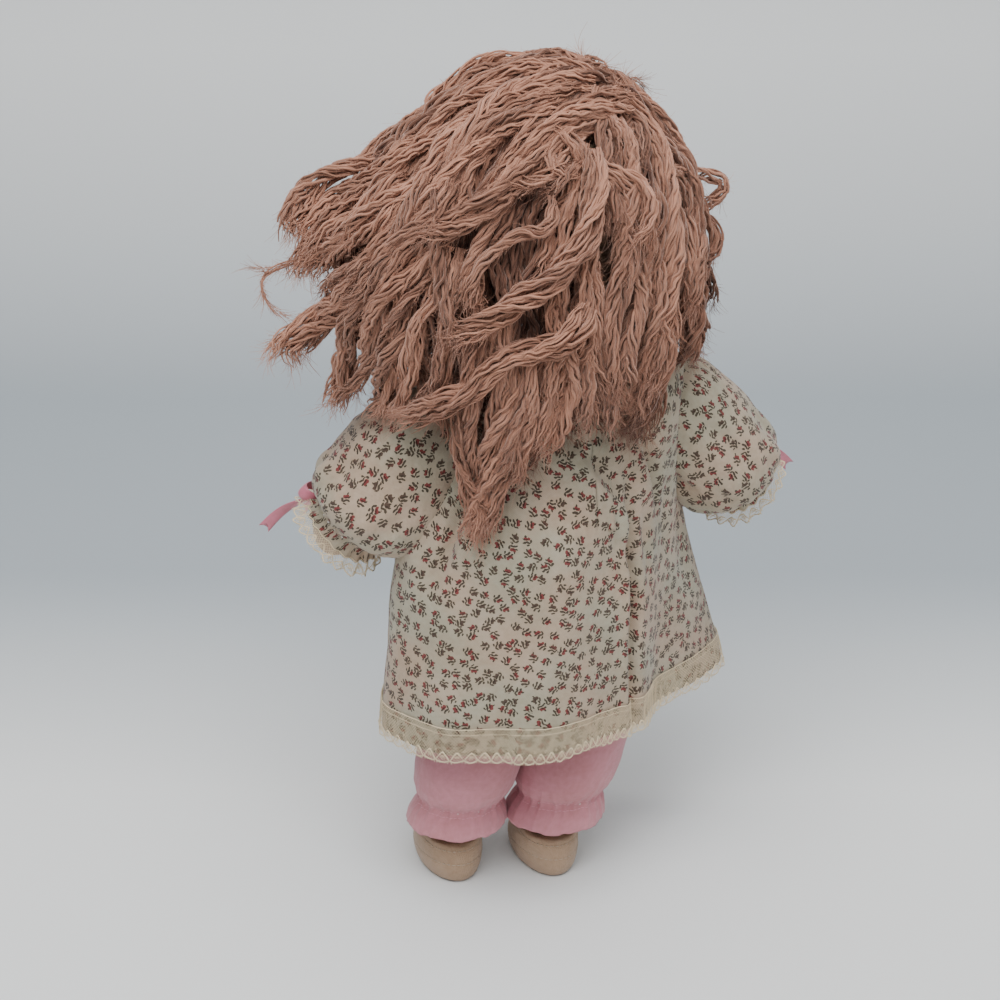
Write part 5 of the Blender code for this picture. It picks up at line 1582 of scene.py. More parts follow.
def make_bow(side, word, rows):
    """A ribbon tied round the cuff in a bow, with two loops and two tails."""
    points = arm_points(side, word)
    centre, way = arm_place(points, SLEEVE_FIRST + (SLEEVE_LAST - SLEEVE_FIRST) * CUFF_AT)
    outward = np.array((side * 0.44, -0.66, 1.15))
    outward -= way * (outward @ way)
    outward /= np.linalg.norm(outward)
    sideways = np.cross(way, outward) * side
    knot = centre + outward * (CUFF_OUT + KNOT_RADIUS * 0.7)
    bow = Strips()
    for turn in (1, -1):
        reaching = unit(sideways * (turn * 0.86) + outward * 0.42 - way * 0.12 * turn)
        lifting = np.cross(reaching, way)
        angle = np.linspace(0, 2 * pi, 25)
        out = KNOT_RADIUS * 0.3 + BOW_LOOP * (1 - np.cos(angle)) / 2
        rise = BOW_LOOP * 0.34 * np.sin(angle)
        path = knot + reaching * out[:, None] + lifting * rise[:, None]
        across = way + sideways * 0.25 * turn * np.sin(angle / 2)[:, None]
        pinch = 0.45 + 0.55 * np.sin(angle / 2) ** 0.5
        bow.strip(path, across, narrow=pinch, cup=0.5 * MM)
        share = np.linspace(0, 1, 22)
        length = BOW_TAIL * (0.85 if turn > 0 else 1.0)
        tail = knot + np.outer(share * length, unit(way * 0.72 + outward * 0.3 + sideways * (turn * 0.42)))
        droop = share ** 2 * length * 0.22
        curl = np.sin(share * 5 + turn) * 1.3 * MM * share
        tail = tail + np.outer(curl, outward)
        tail[:, 2] -= droop
        widening = 0.5 + 0.5 * np.clip(share * 4, 0, 1)
        twist = sideways * np.cos(share * 0.9)[:, None] + outward * (np.sin(share * 0.9) * turn)[:, None]
        bow.strip(tail, twist, narrow=widening, cup=0.35 * MM, notch=2.6 * MM)
    angle = np.linspace(0, 2 * pi, 21)
    wrap = knot + np.outer(np.cos(angle) * KNOT_RADIUS, outward) + np.outer(np.sin(angle) * KNOT_RADIUS, way)
    bow.strip(wrap, sideways, half=2.0 * MM, cup=0.6 * MM)
    made = bow.build("cuff_ribbon_" + word, SATIN_LOOK)
    place_on(made, "arm_" + word, "satin_ribbon", "cuff_bow_" + word)


# Bloomers

# Height in millimetres, the radius there and how deep the cloth is gathered, both in millimetres
BLOOMER_PROFILE = (
    (26.6, 21.6, 0.22), (28.2, 21.4, 0.25), (32.0, 20.2, 0.34), (35.6, 18.0, 0.62),
    (37.2, 17.5, 0.75), (38.6, 18.2, 0.7), (41.0, 20.2, 0.34), (45.0, 21.8, 0.12),
    (52.0, 22.6, 0.05), (62.0, 22.6, 0.03), (78.0, 22.3, 0.02), (95.0, 21.5, 0.02),
    (107.0, 21.2, 0.02),
)
BLOOMER_STITCHES = (35.8 * MM, 38.4 * MM)
BLOOMER_GATHER = 37.2 * MM
BLOOMER_COLUMNS = 180
BLOOMER_ROWS = 110
BLOOMER_PLEATS = 23


def leg_line(side, word):
    hip = joint_place("hip_" + word)
    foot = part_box("foot_" + word)
    ankle = Vector(((foot[0][0] + foot[1][0]) / 2, ANKLE_PLACES[word], foot[1][2]))
    return np.array(hip), np.array(ankle)


ANKLE_PLACES = {"left": -7.0 * MM, "right": 1.0 * MM}


def bloomer_rows(side, word):
    hip, ankle = leg_line(side, word)
    profile = np.array(BLOOMER_PROFILE) * MM
    heights = np.linspace(profile[0, 0], profile[-1, 0], BLOOMER_ROWS)
    angles = 2 * pi * np.arange(BLOOMER_COLUMNS) / BLOOMER_COLUMNS
    radius = np.interp(heights, profile[:, 0], profile[:, 1])[:, None]
    deep = np.interp(heights, profile[:, 0], profile[:, 2])[:, None]
    share = (hip[2] - heights) / (hip[2] - ankle[2])
    centre = hip[None] + (ankle - hip)[None] * share[:, None]
    wide = np.clip((heights - 0.04) / 0.03, 0, 1)[:, None] * 0.08
    rows = np.empty((BLOOMER_ROWS, BLOOMER_COLUMNS, 3))
    place = np.stack([np.broadcast_to(np.cos(angles), rows.shape[:2]),
                      np.broadcast_to(np.sin(angles), rows.shape[:2]),
                      np.broadcast_to(heights[:, None], rows.shape[:2])], axis=-1)
    place[..., :2] *= 22 * MM
    seed = 21 if side > 0 else 27
    wander = hills(place * np.array((1, 1, 0.7)), 8 * MM, seed) * 3.0
    uneven = 0.65 + 0.6 * hills(place * np.array((1, 1, 0.3)), 5 * MM, seed + 1)
    move = deep * uneven * np.cos(BLOOMER_PLEATS * angles[None] + wander)
    move += deep * 0.35 * np.cos(2 * BLOOMER_PLEATS * angles[None] + wander * 2.3 + 1)
    upper = np.clip((heights - 0.036) / 0.02, 0, 1)[:, None]
    move += upper * hills(place * np.array((1, 1, 0.6)), 14 * MM, seed + 2) * 1.1 * MM
    move += upper * hills(place, 4.5 * MM, seed + 3) * 0.15 * MM
    swell = radius + move
    rows[..., 0] = centre[:, 0:1] + swell * np.cos(angles)
    rows[..., 1] = centre[:, 1:2] + swell * (1 + wide) * np.sin(angles)
    rows[..., 2] = heights[:, None] + np.clip(1 - (heights[:, None] - heights[0]) / (6 * MM), 0,
                                              1) * 0.5 * MM \
        * np.cos(BLOOMER_PLEATS / 3 * angles[None] + wander)
    return rows


def make_bloomers():
    for side, word in SIDES:
        rows = bloomer_rows(side, word)
        leg = cloth_grid("bloomer_cloth_" + word, rows, BLOOMER, True, ring_cloth(rows, 0.1 * side), COTTON)
        place_on(leg, "leg_" + word, "bloomer_cotton", "bloomer_leg_" + word)
        threads = Threads()
        for height in BLOOMER_STITCHES:
            row = int(np.argmin(np.abs(rows[:, 0, 2] - height)))
            ring = rows[row] + unit(rows[row] - rows[row].mean(axis=0)) * SEWING_THREAD * 0.5
            stitched_seam(threads, np.vstack([ring, ring[:1]]), 1.4 * MM, 0.5 * MM, tone=0.8)
        seam = threads.build("bloomer_stitches_" + word, PINK_SEWING)
        place_on(seam, "leg_" + word, "bloomer_cotton")
        gather = int(np.argmin(np.abs(rows[:, 0, 2] - BLOOMER_GATHER)))
        elastic_ring("ankle_elastic_ring_" + word, rows[gather], "leg_" + word, "ankle_elastic_" + word)
    tree = solid_tree("bloomers_seat")
    low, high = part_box("bloomers_seat")
    axis = joint_place("hip_left")
    angles = 2 * pi * np.arange(160) / 160
    heights = np.linspace(low[2] + 0.3 * MM, high[2] - 0.3 * MM, 34)
    reaches = []
    for z in heights:
        centre = Vector((0, axis.y, z))
        reaches.append(fill_row([reach(tree, centre, Vector((cos(a), sin(a), 0))) for a in angles], 14 * MM))
    reaches = soften(np.array(reaches), 1.5, 3.0)
    rows = np.empty((34, 160, 3))
    rows[..., 0] = reaches * np.cos(angles)
    rows[..., 1] = axis.y + reaches * np.sin(angles)
    rows[..., 2] = heights[:, None]
    top = np.clip((heights - 0.142) / 0.012, 0, 1)[:, None]
    move = hills(rows, 12 * MM, 31) * 0.5 * MM + top * 0.4 * MM * np.cos(40 * angles[None])
    rows = rows + grid_normals(rows) * move[..., None]
    seat = cloth_grid("bloomer_seat_cloth", rows, BLOOMER, True, ring_cloth(rows, 0.4), COTTON)
    place_on(seat, "torso", "bloomer_cotton", "bloomers_seat")


# Hair

HAIR_MIDDLE = (4 * MM, -3 * MM)
# Height, then how far the hair reaches left, right, back and front of its middle, in millimetres
HAIR_SHELL = (
    (120, 62, 50, 55, 40), (160, 58, 46, 54, 40), (175, 56, 44, 52, 42), (200, 54, 46, 50, 44),
    (220, 66, 55, 51, 45), (235, 77, 62, 52, 46), (250, 83, 63, 52, 47), (270, 86, 61, 51, 48),
    (290, 83, 57, 49, 50), (310, 67, 49, 45, 49), (330, 44, 36, 33, 41), (343, 20, 20, 18, 25),
    (349, 1, 1, 1, 1),
)
# Height, then the same for the head and neck under the hair
HAIR_CORE = (
    (160, 20, 20, 34, 20), (235, 24, 24, 30, 22), (252, 34, 34, 33, 32), (270, 46, 46, 40, 43),
    (295, 48, 48, 42, 45), (320, 41, 41, 36, 38), (335, 24, 24, 20, 24), (342, 2, 2, 2, 2),
)
# Turn round the head in degrees, from the left by the back, and how high the tips hang in millimetres
HAIR_TIPS = (
    (-90, 303), (-58, 300), (-44, 268), (-30, 240), (0, 226), (25, 214), (50, 200), (75, 198),
    (100, 208), (130, 214), (160, 232), (185, 238), (205, 246), (222, 268), (236, 300), (270, 303),
)
HAIR_NODES = (
    ("hair_left", -50, 20),
    ("hair_back_left", 20, 50),
    ("hair_long_lock", 50, 74),
    ("hair_back", 74, 112),
    ("hair_back_right", 112, 150),
    ("hair_right", 150, 228),
    ("hair_fringe", 228, 310),
)
PART_X = -17 * MM
PART_FRONT = -24 * MM
PART_BACK = 13 * MM
UNDER_LOCKS = 74
# Where the hair lies open at the back, round the head
HAIR_GAP = radians(84)
HAIR_GAP_HALF = radians(17)


def table_reach(table, angle, height):
    """How far an outline given by a table reaches in a direction, at a height in metres."""
    table = np.array(table) * MM
    left, right, back, front = (np.interp(height, table[:, 0], table[:, k]) for k in range(1, 5))
    wide = np.where(np.cos(angle) > 0, left, right)
    deep = np.where(np.sin(angle) > 0, back, front)
    return 1 / np.sqrt((np.cos(angle) / wide) ** 2 + (np.sin(angle) / deep) ** 2)


def hair_point(angle, height, share, lift=0.0):
    """A point between the head and the outside of the hair."""
    inner = table_reach(HAIR_CORE, angle, height)
    outer = table_reach(HAIR_SHELL, angle, height)
    out = inner + (outer - inner) * share + lift
    return np.stack([HAIR_MIDDLE[0] + out * np.cos(angle), HAIR_MIDDLE[1] + out * np.sin(angle),
                     np.broadcast_to(height, np.shape(out))], axis=-1)


def dome_height(x, y, share):
    """The height of the hair's layer over a place near the crown."""
    angle = np.arctan2(y - HAIR_MIDDLE[1], x - HAIR_MIDDLE[0])
    away = np.hypot(x - HAIR_MIDDLE[0], y - HAIR_MIDDLE[1])
    heights = np.linspace(0.345, 0.28, 60)
    core = np.array([table_reach(HAIR_CORE, angle, z) for z in heights])
    shell = np.array([table_reach(HAIR_SHELL, angle, z) for z in heights])
    out = core + (shell - core) * share
    inside = out >= away
    first = int(np.argmax(inside)) if inside.any() else len(heights) - 1
    return heights[first]


def camera_axes():
    ahead = -Vector((sin(CAMERA_TURN) * cos(CAMERA_RISE), -cos(CAMERA_TURN) * cos(CAMERA_RISE),
                     sin(CAMERA_RISE)))
    right = ahead.cross(Vector((0, 0, 1))).normalized()
    return ahead, right, right.cross(ahead)


def on_hair(px, py, lift):
    """Where a pixel of the photograph meets the outside of the hair, raised by a lift."""
    ahead, right, up = (np.array(v) for v in camera_axes())
    eye = np.array(AIM) - ahead * CAMERA_AWAY
    focal = CAMERA_LENS / SENSOR * PICTURE
    ray = ahead * focal + right * (px - PICTURE / 2) + up * (PICTURE / 2 - py)
    ray /= np.linalg.norm(ray)
    run = np.arange(0.68, 0.93, 0.001)
    places = eye + ray * run[:, None]
    x, y = places[:, 0] - HAIR_MIDDLE[0], places[:, 1] - HAIR_MIDDLE[1]
    outside = np.hypot(x, y) - table_reach(HAIR_SHELL, np.arctan2(y, x), places[:, 2]) - lift
    outside[places[:, 2] > 0.349] = np.maximum(outside[places[:, 2] > 0.349],
                                               places[places[:, 2] > 0.349, 2] - 0.346)
    inside = np.flatnonzero(outside < 0)
    return run[inside[0]] if len(inside) else run[int(np.argmin(outside))], eye, ray


def traced_path(trace, lift):
    """A lock's way in space, from its way in the enlarged picture of the hair."""
    depths, rays = [], []
    for u, v in zip(trace[::2], trace[1::2]):
        px = HAIR_VIEW_LEFT + u / HAIR_VIEW_ZOOM
        py = HAIR_VIEW_TOP + v / HAIR_VIEW_ZOOM
        depth, eye, ray = on_hair(px, py, lift)
        depths.append(depth)
        rays.append(ray)
    depths = np.array(depths)
    padded = np.concatenate([depths[:1], depths, depths[-1:]])
    even = (padded[:-2] + padded[1:-1] * 2 + padded[2:]) / 4
    return eye + np.array(rays) * even[:, None]


class Wool:
    """The yarn of one piece of hair: strands, loose fibres and frayed tips."""

    def __init__(self):
        self.threads = Threads()

    def strand(self, path, radius=YARN_RADIUS, fray=0.0, plies=PLIES, fuzz=FUZZ_EVERY, tones=PALE_TONES):
        """One soft yarn along a path: fine plies that lie round each other and kink together."""
        path = smooth_path(path, YARN_STEP)
        run = np.arange(len(path)) * YARN_STEP
        total = run[-1]
        _, side, other = path_frames(path)
        tone = tones[0] + (tones[1] - tones[0]) * chance.random()
        pitch = YARN_PITCH * (0.8 + 0.6 * chance.random()) * (1 if chance.random() > 0.25 else -1)
        turn = chance.random() * 2 * pi + 2 * pi * run / pitch
        wave = chance.random() * 2 * pi + 2 * pi * run / (KINK_LENGTH * (0.85 + 0.4 * chance.random()))
        wave = wave + 1.6 * np.sin(run * 2 * pi / DRIFT_LENGTH + turn[0])
        swell = 1 + 0.22 * hills(path, 10 * MM, tone * 9)
        loose = np.clip((run - total + fray) / max(fray, YARN_STEP), 0, 1)
        start = np.clip(run / (6 * MM), 0.55, 1)
        for ply in range(plies):
            here = turn + 2 * pi * ply / plies + 0.5 * (chance.random() - 0.5)
            depth = 0.42 + 0.42 * chance.random()
            out = radius * depth * swell * start * (1 + loose * (chance.random() * 2.0 - 0.5))
            kink = KINK * (0.6 + 0.8 * chance.random()) * np.sin(wave + 0.9 * chance.random())
            first_turn = chance.random(2) * 2 * pi
            turn_length = DRIFT_LENGTH * (0.7 + 0.8 * chance.random(2))
            drift = first_turn + 2 * pi * run[:, None] / turn_length
            sway = PLY_DRIFT * np.sin(drift)
            across = np.cos(here) * out - np.sin(here) * kink + sway[:, 0]
            along = np.sin(here) * out + np.cos(here) * kink + sway[:, 1]
            line = path + side * across[:, None] + other * along[:, None]
            ply_width = radius * PLY_SHARE * (PLIES / plies) ** 0.5 * (0.8 + 0.35 * chance.random())
            width = ply_width * (1 - 0.8 * loose) * start
            last = len(line) - int(chance.random() * fray * 0.6 / YARN_STEP)
            shade = float(np.clip(tone + 0.5 * (chance.random() - 0.5), 0, 1))
            self.threads.tube(line[:max(last, 4)], width[:max(last, 4)], PLY_SIDES, shade)
        self.fuzz(path, side, other, radius, int(total / fuzz) + 3, tone)
        if fray:
            self.frayed(path, side, other, radius, tone, fray)

    def fuzz(self, path, side, other, radius, count, tone):
        """Fine fibres that stand off a yarn, most of them short."""
        index = chance.integers(1, len(path) - 2, count)
        angle = chance.random(count) * 2 * pi
        out = side[index] * np.cos(angle)[:, None] + other[index] * np.sin(angle)[:, None]
        way = unit(path[np.minimum(index + 2, len(path) - 1)] - path[index - 1])
        length = (1.0 + 5.0 * chance.random(count) ** 2.2) * MM
        forward = (chance.random(count) - 0.25) * 1.6
        curl = (chance.random(count) - 0.5) * 2.4
        across = np.cross(way, out)
        share = np.linspace(0, 1, 4)[None, :, None]
        start = path[index] + out * (radius * 0.85)
        paths = (start[:, None] + out[:, None] * (length[:, None, None] * share * (0.75 - 0.35 * share))
                 + way[:, None] * (length * forward)[:, None, None] * share
                 + across[:, None] * (length * curl)[:, None, None] * share ** 2 * 0.6)
        self.threads.fibres(paths, FUZZ_RADIUS, np.clip(tone + 0.25 + 0.3 * chance.random(count), 0, 1))

    def frayed(self, path, side, other, radius, tone, fray):
        """Longer wisps that leave the last stretch of a yarn."""
        count = WISPS
        back = chance.random(count) * 0.9
        index = np.clip((len(path) - 1 - back * fray / YARN_STEP).astype(int), 1, len(path) - 1)
        angle = chance.random(count) * 2 * pi
        out = side[index] * np.cos(angle)[:, None] + other[index] * np.sin(angle)[:, None]
        way = unit(path[index] - path[index - 1])
        length = (3.0 + 5.5 * chance.random(count)) * MM
        lean = 0.1 + 0.5 * chance.random(count)
        share = np.linspace(0, 1, 6)[None, :, None]
        sway = np.cross(way, out) * (chance.random(count) - 0.5)[:, None] * 1.8
        start = path[index] + out * (radius * 0.6)
        paths = (start[:, None] + way[:, None] * length[:, None, None] * share
                 + (out * (length * lean)[:, None])[:, None] * share ** 1.5
                 + (sway * length[:, None])[:, None] * share ** 2)
        self.threads.fibres(paths, FUZZ_RADIUS * 1.5, np.clip(tone + 0.3 * chance.random(count), 0, 1))

    def lock(self, path, yarns, fray=16 * MM, wander=1.2 * MM, plies=PLIES, fuzz=FUZZ_EVERY,
             tones=PALE_TONES):
        """Some yarns together, slowly twisted round each other, with uneven ends."""
        if not yarns:
            self.strand(path, WISP_RADIUS, fray, 3)
            return
        path = smooth_path(path, 4 * MM)
        _, side, other = path_frames(path)
        run = np.arange(len(path)) * 4 * MM
        spread = LOCK_SPREAD[yarns - 1] * YARN_RADIUS
        phase = chance.random() * 2 * pi
        turns = (0.5 + 0.7 * chance.random()) * 2 * pi / (85 * MM) * (1 if chance.random() > 0.4 else -1)
        for k in range(yarns):
            turn = phase + 2 * pi * k / yarns + turns * run
            open_out = 1 + 0.5 * np.clip(run / run[-1] - 0.6, 0, 1) * chance.random()
            line = path + side * (np.cos(turn) * spread * open_out)[:, None] \
                + other * (np.sin(turn) * spread * open_out)[:, None]
            seed = chance.random(3) * 40
            for axis in range(3):
                line[:, axis] += hills(path + seed[axis], 16 * MM, 2) * wander
            last = len(line) - int(chance.integers(0, max(int(len(line) * 0.08), 1) + 1))
            self.strand(line[:max(last, 4)], YARN_RADIUS * (0.9 + 0.2 * chance.random()), fray, plies,
                        fuzz, tones)


def under_strand(angle, share):
    """A strand of the layers below, from the parting over the dome and down to its tip."""
    turn = np.degrees(angle)
    tips = np.array(HAIR_TIPS, dtype=float)
    wrapped = turn if turn <= 270 else turn - 360
    tip = np.interp(wrapped, tips[:, 0], tips[:, 1]) * MM
    tip += (chance.random() - 0.35) * 20 * MM * (0.4 if tip > 0.29 else 1.0)
    back = (sin(angle) + 1) / 2
    start = np.array((PART_X, PART_FRONT + (PART_BACK - PART_FRONT) * back))
    start += (chance.random(2) - 0.5) * 5 * MM
    knee = hair_point(angle, 0.318, share)
    points = []
    for s in (0.06, 0.3, 0.55, 0.8):
        x, y = start + (knee[:2] - start) * s
        points.append((x, y, max(dome_height(x, y, share), knee[2])))
    drops = max(int((0.312 - tip) / (13 * MM)), 1)
    seed = chance.random() * 50
    for k in range(drops + 1):
        height = 0.314 + (tip - 0.314) * k / drops
        low = k / drops
        swing = noise.noise(Vector((seed, k * 0.45, 0))) * 0.22 * (0.3 + low)
        lift = noise.noise(Vector((seed, k * 0.5, 9))) * 4 * MM
        inward = share * (1 - 0.18 * low * chance.random())
        points.append(tuple(hair_point(angle + swing, height, inward, lift)))
    return np.array(points)


def hair_group(path):
    """The piece of hair that a lock belongs to, by where its lower half hangs."""
    low = path[len(path) // 2:].mean(axis=0)
    turn = np.degrees(np.arctan2(low[1] - HAIR_MIDDLE[1], low[0] - HAIR_MIDDLE[0]))
    turn = turn + 360 if turn < -50 else turn
    for name, first, last in HAIR_NODES:
        if first <= turn < last:
            return name
    return "hair_fringe"


# Where the enlarged picture lies in the photograph, in its pixels
HAIR_VIEW_LEFT = 240
HAIR_VIEW_TOP = 40
HAIR_VIEW_ZOOM = 3

# Locks traced on that enlarged picture: yarns, how far above the other hair in millimetres,
# then the way from root to tip as pairs across and down
HAIR_LOCKS = (
    (2, 2,
     (1090, 110, 990, 70, 880, 55, 760, 70, 680, 110, 600, 170, 520, 250, 440, 330, 380, 400, 330, 470)),
    (3, 2,
     (1080, 120, 960, 95, 850, 95, 740, 140, 660, 200, 580, 290, 500, 370, 430, 440, 370, 520, 330, 590,
            290, 640)),
    (3, 3,
     (1060, 140, 950, 130, 850, 150, 760, 200, 690, 260, 620, 330, 570, 400, 520, 450, 440, 500, 360, 540,
            280, 590, 220, 640)),
    (3, 3,
     (1000, 160, 900, 170, 820, 200, 740, 260, 680, 330, 620, 390, 560, 450, 510, 520, 470, 580, 420, 640,
            370, 700, 320, 760)),
    (3, 4,
     (1020, 150, 900, 200, 780, 260, 700, 320, 640, 400, 590, 470, 560, 540, 500, 600, 450, 660, 400, 730,
            340, 790)),
    (2, 4, (960, 190, 860, 230, 760, 290, 690, 360, 660, 430, 640, 480, 600, 560, 590, 640)),
    (2, 2, (620, 170, 520, 250, 420, 330, 340, 380, 260, 410, 190, 470, 150, 540, 160, 600)),
    (2, 2, (560, 300, 440, 380, 340, 440, 260, 480, 200, 540, 180, 600, 170, 650)),
    (2, 3, (500, 400, 400, 450, 300, 520, 230, 580, 190, 650, 170, 720)),
    (1, 2, (420, 560, 340, 600, 260, 640, 200, 650, 150, 670)),
    (0, 2, (300, 620, 220, 650, 150, 670, 90, 690, 35, 680)),
    (0, 1, (150, 670, 100, 690, 66, 720, 72, 770, 100, 810, 140, 830)),
    (0, 2, (1010, 110, 1040, 80, 1020, 40, 1010, 20)),
    (0, 2, (1030, 120, 1060, 90, 1100, 80, 1098, 110)),
    (0, 3, (1000, 90, 1040, 60, 1080, 70, 1100, 120)),
    (0, 2, (1120, 170, 1150, 130, 1190, 120, 1215, 150)), (0, 2, (1100, 160, 1130, 140, 1160, 105)),
    (3, 2, (500, 500, 420, 560, 340, 600, 260, 640, 200, 690, 180, 740)),
    (2, 3, (540, 540, 480, 600, 420, 640, 360, 690, 300, 730, 260, 770, 240, 790)),
    (2, 5, (640, 420, 590, 500, 530, 560, 460, 620, 420, 690, 370, 760, 300, 800)),
    (2, 3, (400, 690, 330, 740, 280, 790, 220, 840, 160, 880, 120, 910, 70, 960)),
    (3, 2, (400, 740, 300, 800, 240, 850, 190, 900, 170, 940, 200, 990)),
    (3, 3, (480, 660, 420, 740, 370, 800, 330, 850, 320, 920, 310, 990, 300, 1050, 260, 1130)),
    (2, 3, (540, 620, 480, 700, 430, 780, 400, 850, 390, 920, 370, 990, 330, 1060, 320, 1100)),
    (3, 3, (600, 600, 560, 680, 510, 760, 480, 830, 450, 920, 440, 1000, 430, 1080, 400, 1140)),
    (2, 4, (650, 620, 620, 700, 580, 780, 540, 850, 520, 930, 500, 1010, 480, 1090, 440, 1130)),
    (2, 4, (680, 660, 640, 760, 620, 840, 610, 920, 600, 1000, 580, 1070, 540, 1110)),
    (3, 10, (1050, 330, 1070, 430, 1060, 520, 1030, 610, 980, 680, 900, 750, 800, 810, 700, 870, 620, 910)),
    (3, 10,
     (1050, 800, 1000, 880, 900, 930, 820, 950, 750, 990, 690, 1050, 620, 1090, 550, 1110, 470, 1140)),
    (3, 9,
     (1170, 190, 1080, 190, 1000, 230, 930, 290, 870, 350, 820, 420, 760, 480, 700, 520, 620, 570, 540,
      600)),
    (2, 8, (1150, 180, 1060, 240, 980, 300, 940, 360, 900, 400, 850, 430, 790, 440)),
    (1, 9, (1040, 350, 1000, 390, 960, 430, 900, 460, 860, 455)),
    (1, 10, (1000, 270, 960, 290, 930, 330, 940, 380, 990, 400, 1030, 380, 1040, 350)),
    (2, 8, (930, 270, 1010, 310, 1060, 380, 1130, 410, 1190, 440, 1220, 500, 1210, 570, 1190, 640)),
    (3, 3,
     (1110, 160, 1190, 230, 1250, 320, 1270, 420, 1290, 520, 1300, 620, 1290, 720, 1280, 820, 1270, 900)),
    (2, 2,
     (1120, 150, 1220, 210, 1290, 300, 1340, 400, 1360, 500, 1365, 600, 1360, 700, 1350, 800, 1330, 880)),
    (2, 4, (1120, 170, 1180, 260, 1200, 340, 1190, 420)),
    (1, 4, (1240, 400, 1310, 390, 1390, 400, 1440, 420, 1440, 460, 1400, 500, 1380, 480)),
    (1, 2, (1360, 460, 1390, 520, 1420, 560, 1430, 610, 1410, 660, 1390, 690)),
    (2, 5, (1090, 150, 1110, 230, 1150, 300, 1170, 400, 1180, 500, 1160, 600, 1150, 680, 1180, 720)),
    (2, 5, (1080, 180, 1090, 300, 1100, 400, 1110, 480, 1130, 560, 1120, 640)),
    (2, 5, (1060, 150, 1070, 200, 1130, 280, 1160, 360)),
    (3, 3, (1180, 400, 1200, 500, 1220, 600, 1230, 700, 1250, 800, 1240, 900, 1230, 1000, 1200, 1080)),
    (3, 4, (1140, 430, 1150, 520, 1170, 620, 1140, 720, 1120, 800, 1100, 900, 1100, 1000, 1110, 1080)),
    (2, 4, (1190, 540, 1210, 640, 1200, 740, 1180, 840, 1160, 940, 1150, 1040, 1150, 1110)),
    (2, 3, (1250, 760, 1260, 860, 1280, 930, 1250, 1010, 1210, 1090, 1190, 1170)),
    (2, 4, (960, 180, 880, 240, 830, 330, 790, 420, 760, 520, 730, 600, 700, 680, 690, 760, 700, 830)),
    (2, 3, (1000, 280, 960, 350, 930, 400)),
    (2, 4, (1040, 320, 1020, 400, 990, 480, 950, 560, 940, 640, 910, 720, 890, 760)),
    (1, 8, (930, 470, 935, 540, 900, 580, 830, 590, 770, 620, 720, 680, 700, 740, 690, 800, 730, 800)),
    (1, 8, (580, 440, 590, 500, 595, 600, 600, 700, 610, 800, 640, 880, 665, 960)),
    (3, 3, (1030, 350, 1040, 440, 1050, 560, 1040, 680, 1040, 800, 1020, 900, 1000, 1000, 1030, 1060)),
    (3, 3, (980, 620, 960, 720, 950, 820, 960, 920, 930, 1000, 930, 1080, 940, 1140)),
    (2, 3, (1050, 660, 1050, 760, 1070, 860, 1060, 960, 1070, 1040, 1090, 1080)),
    (3, 4, (780, 800, 780, 900, 800, 1000, 790, 1080, 770, 1160, 760, 1240, 740, 1320, 720, 1400, 700, 1470,
            706, 1530)),
    (3, 5, (720, 880, 700, 980, 690, 1060, 680, 1130, 670, 1200, 680, 1280, 700, 1350, 725, 1420,
            718, 1490)),
    (2, 4, (820, 900, 830, 1010, 830, 1100, 820, 1180, 800, 1260, 765, 1330, 750, 1400,
            735, 1480)),
    (2, 4, (880, 900, 880, 990, 870, 1080, 850, 1160, 840, 1240, 830, 1300, 790, 1340)),
    (2, 3, (940, 900, 930, 1000, 920, 1090, 890, 1180, 880, 1230)),
    (2, 3, (980, 860, 990, 960, 990, 1050, 960, 1120, 940, 1180, 900, 1260)),
    (2, 3, (1050, 900, 1050, 1000, 1040, 1080, 1030, 1140, 1000, 1200)),
    (2, 3, (1090, 900, 1100, 1000, 1110, 1080, 1120, 1150, 1140, 1180)),
)


def make_hair():
    wools = {name: Wool() for name, _, _ in HAIR_NODES}
    for k in range(UNDER_LOCKS):
        angle = 2 * pi * ((k * 0.618034) % 1.0) - radians(50)
        share = (0.3, 0.55, 0.75, 0.9, 0.97)[k % 5]
        front = angle > radians(228) or angle < radians(-40)
        path = under_strand(angle, min(share + 0.1, 0.95) if front else share)
        if share > 0.5 and abs(angle - HAIR_GAP) < HAIR_GAP_HALF:
            continue
        # The under layers take the darker tones: painted shade
        wools[hair_group(path)].lock(path, 3, wander=2.0 * MM, plies=7, fuzz=UNDER_FUZZ_EVERY,
                                     tones=SHADED_UNDER_TONES)
    for yarns, lift, trace in HAIR_LOCKS:
        path = traced_path(trace, lift * MM)
        wools[hair_group(path)].lock(path, yarns)
    for name, _, _ in HAIR_NODES:
        piece = wools[name].threads.build(name + "_yarn", YARN)
        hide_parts(name)
        if name == "hair_fringe":
            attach(piece, "head")
        else:
            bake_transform(piece)
    make_part_tape()


def make_part_tape():
    """The tape that the yarn is sewn to, over the top of the head."""
    tree = BVHTree.FromObject(bpy.data.objects["head_cloth"], bpy.context.evaluated_depsgraph_get())
    middle = box_middle("hair_part_tape")
    low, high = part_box("hair_part_tape")
    centre = box_middle("head")
    rows = []
    for k in range(41):
        y = low[1] + (high[1] - low[1]) * k / 40
        row = []
        for share in np.linspace(-1, 1, 7):
            start = Vector((middle.x + share * (high[0] - low[0]) / 2, y, centre.z))
            hit = tree.ray_cast(start + Vector((0, 0, 0.1)), Vector((0, 0, -1)), 0.1)[0]
            row.append(tuple(hit + Vector((0, 0, 0.5 * MM))) if hit is not None else rows[-1][len(row)])
        rows.append(row)
    rows = np.array(rows)
    tape = cloth_grid("hair_tape", rows, LACE_TAPE, False, cloth_places(rows, 0.0), COTTON)
    place_on(tape, "head", "yarn", "hair_part_tape")


# Stage, camera and light

FLOOR_WIDE = 2.6
FLOOR_NEAR = -1.3
WALL_AWAY = 0.62
BEND = 0.35
WALL_TALL = 1.4
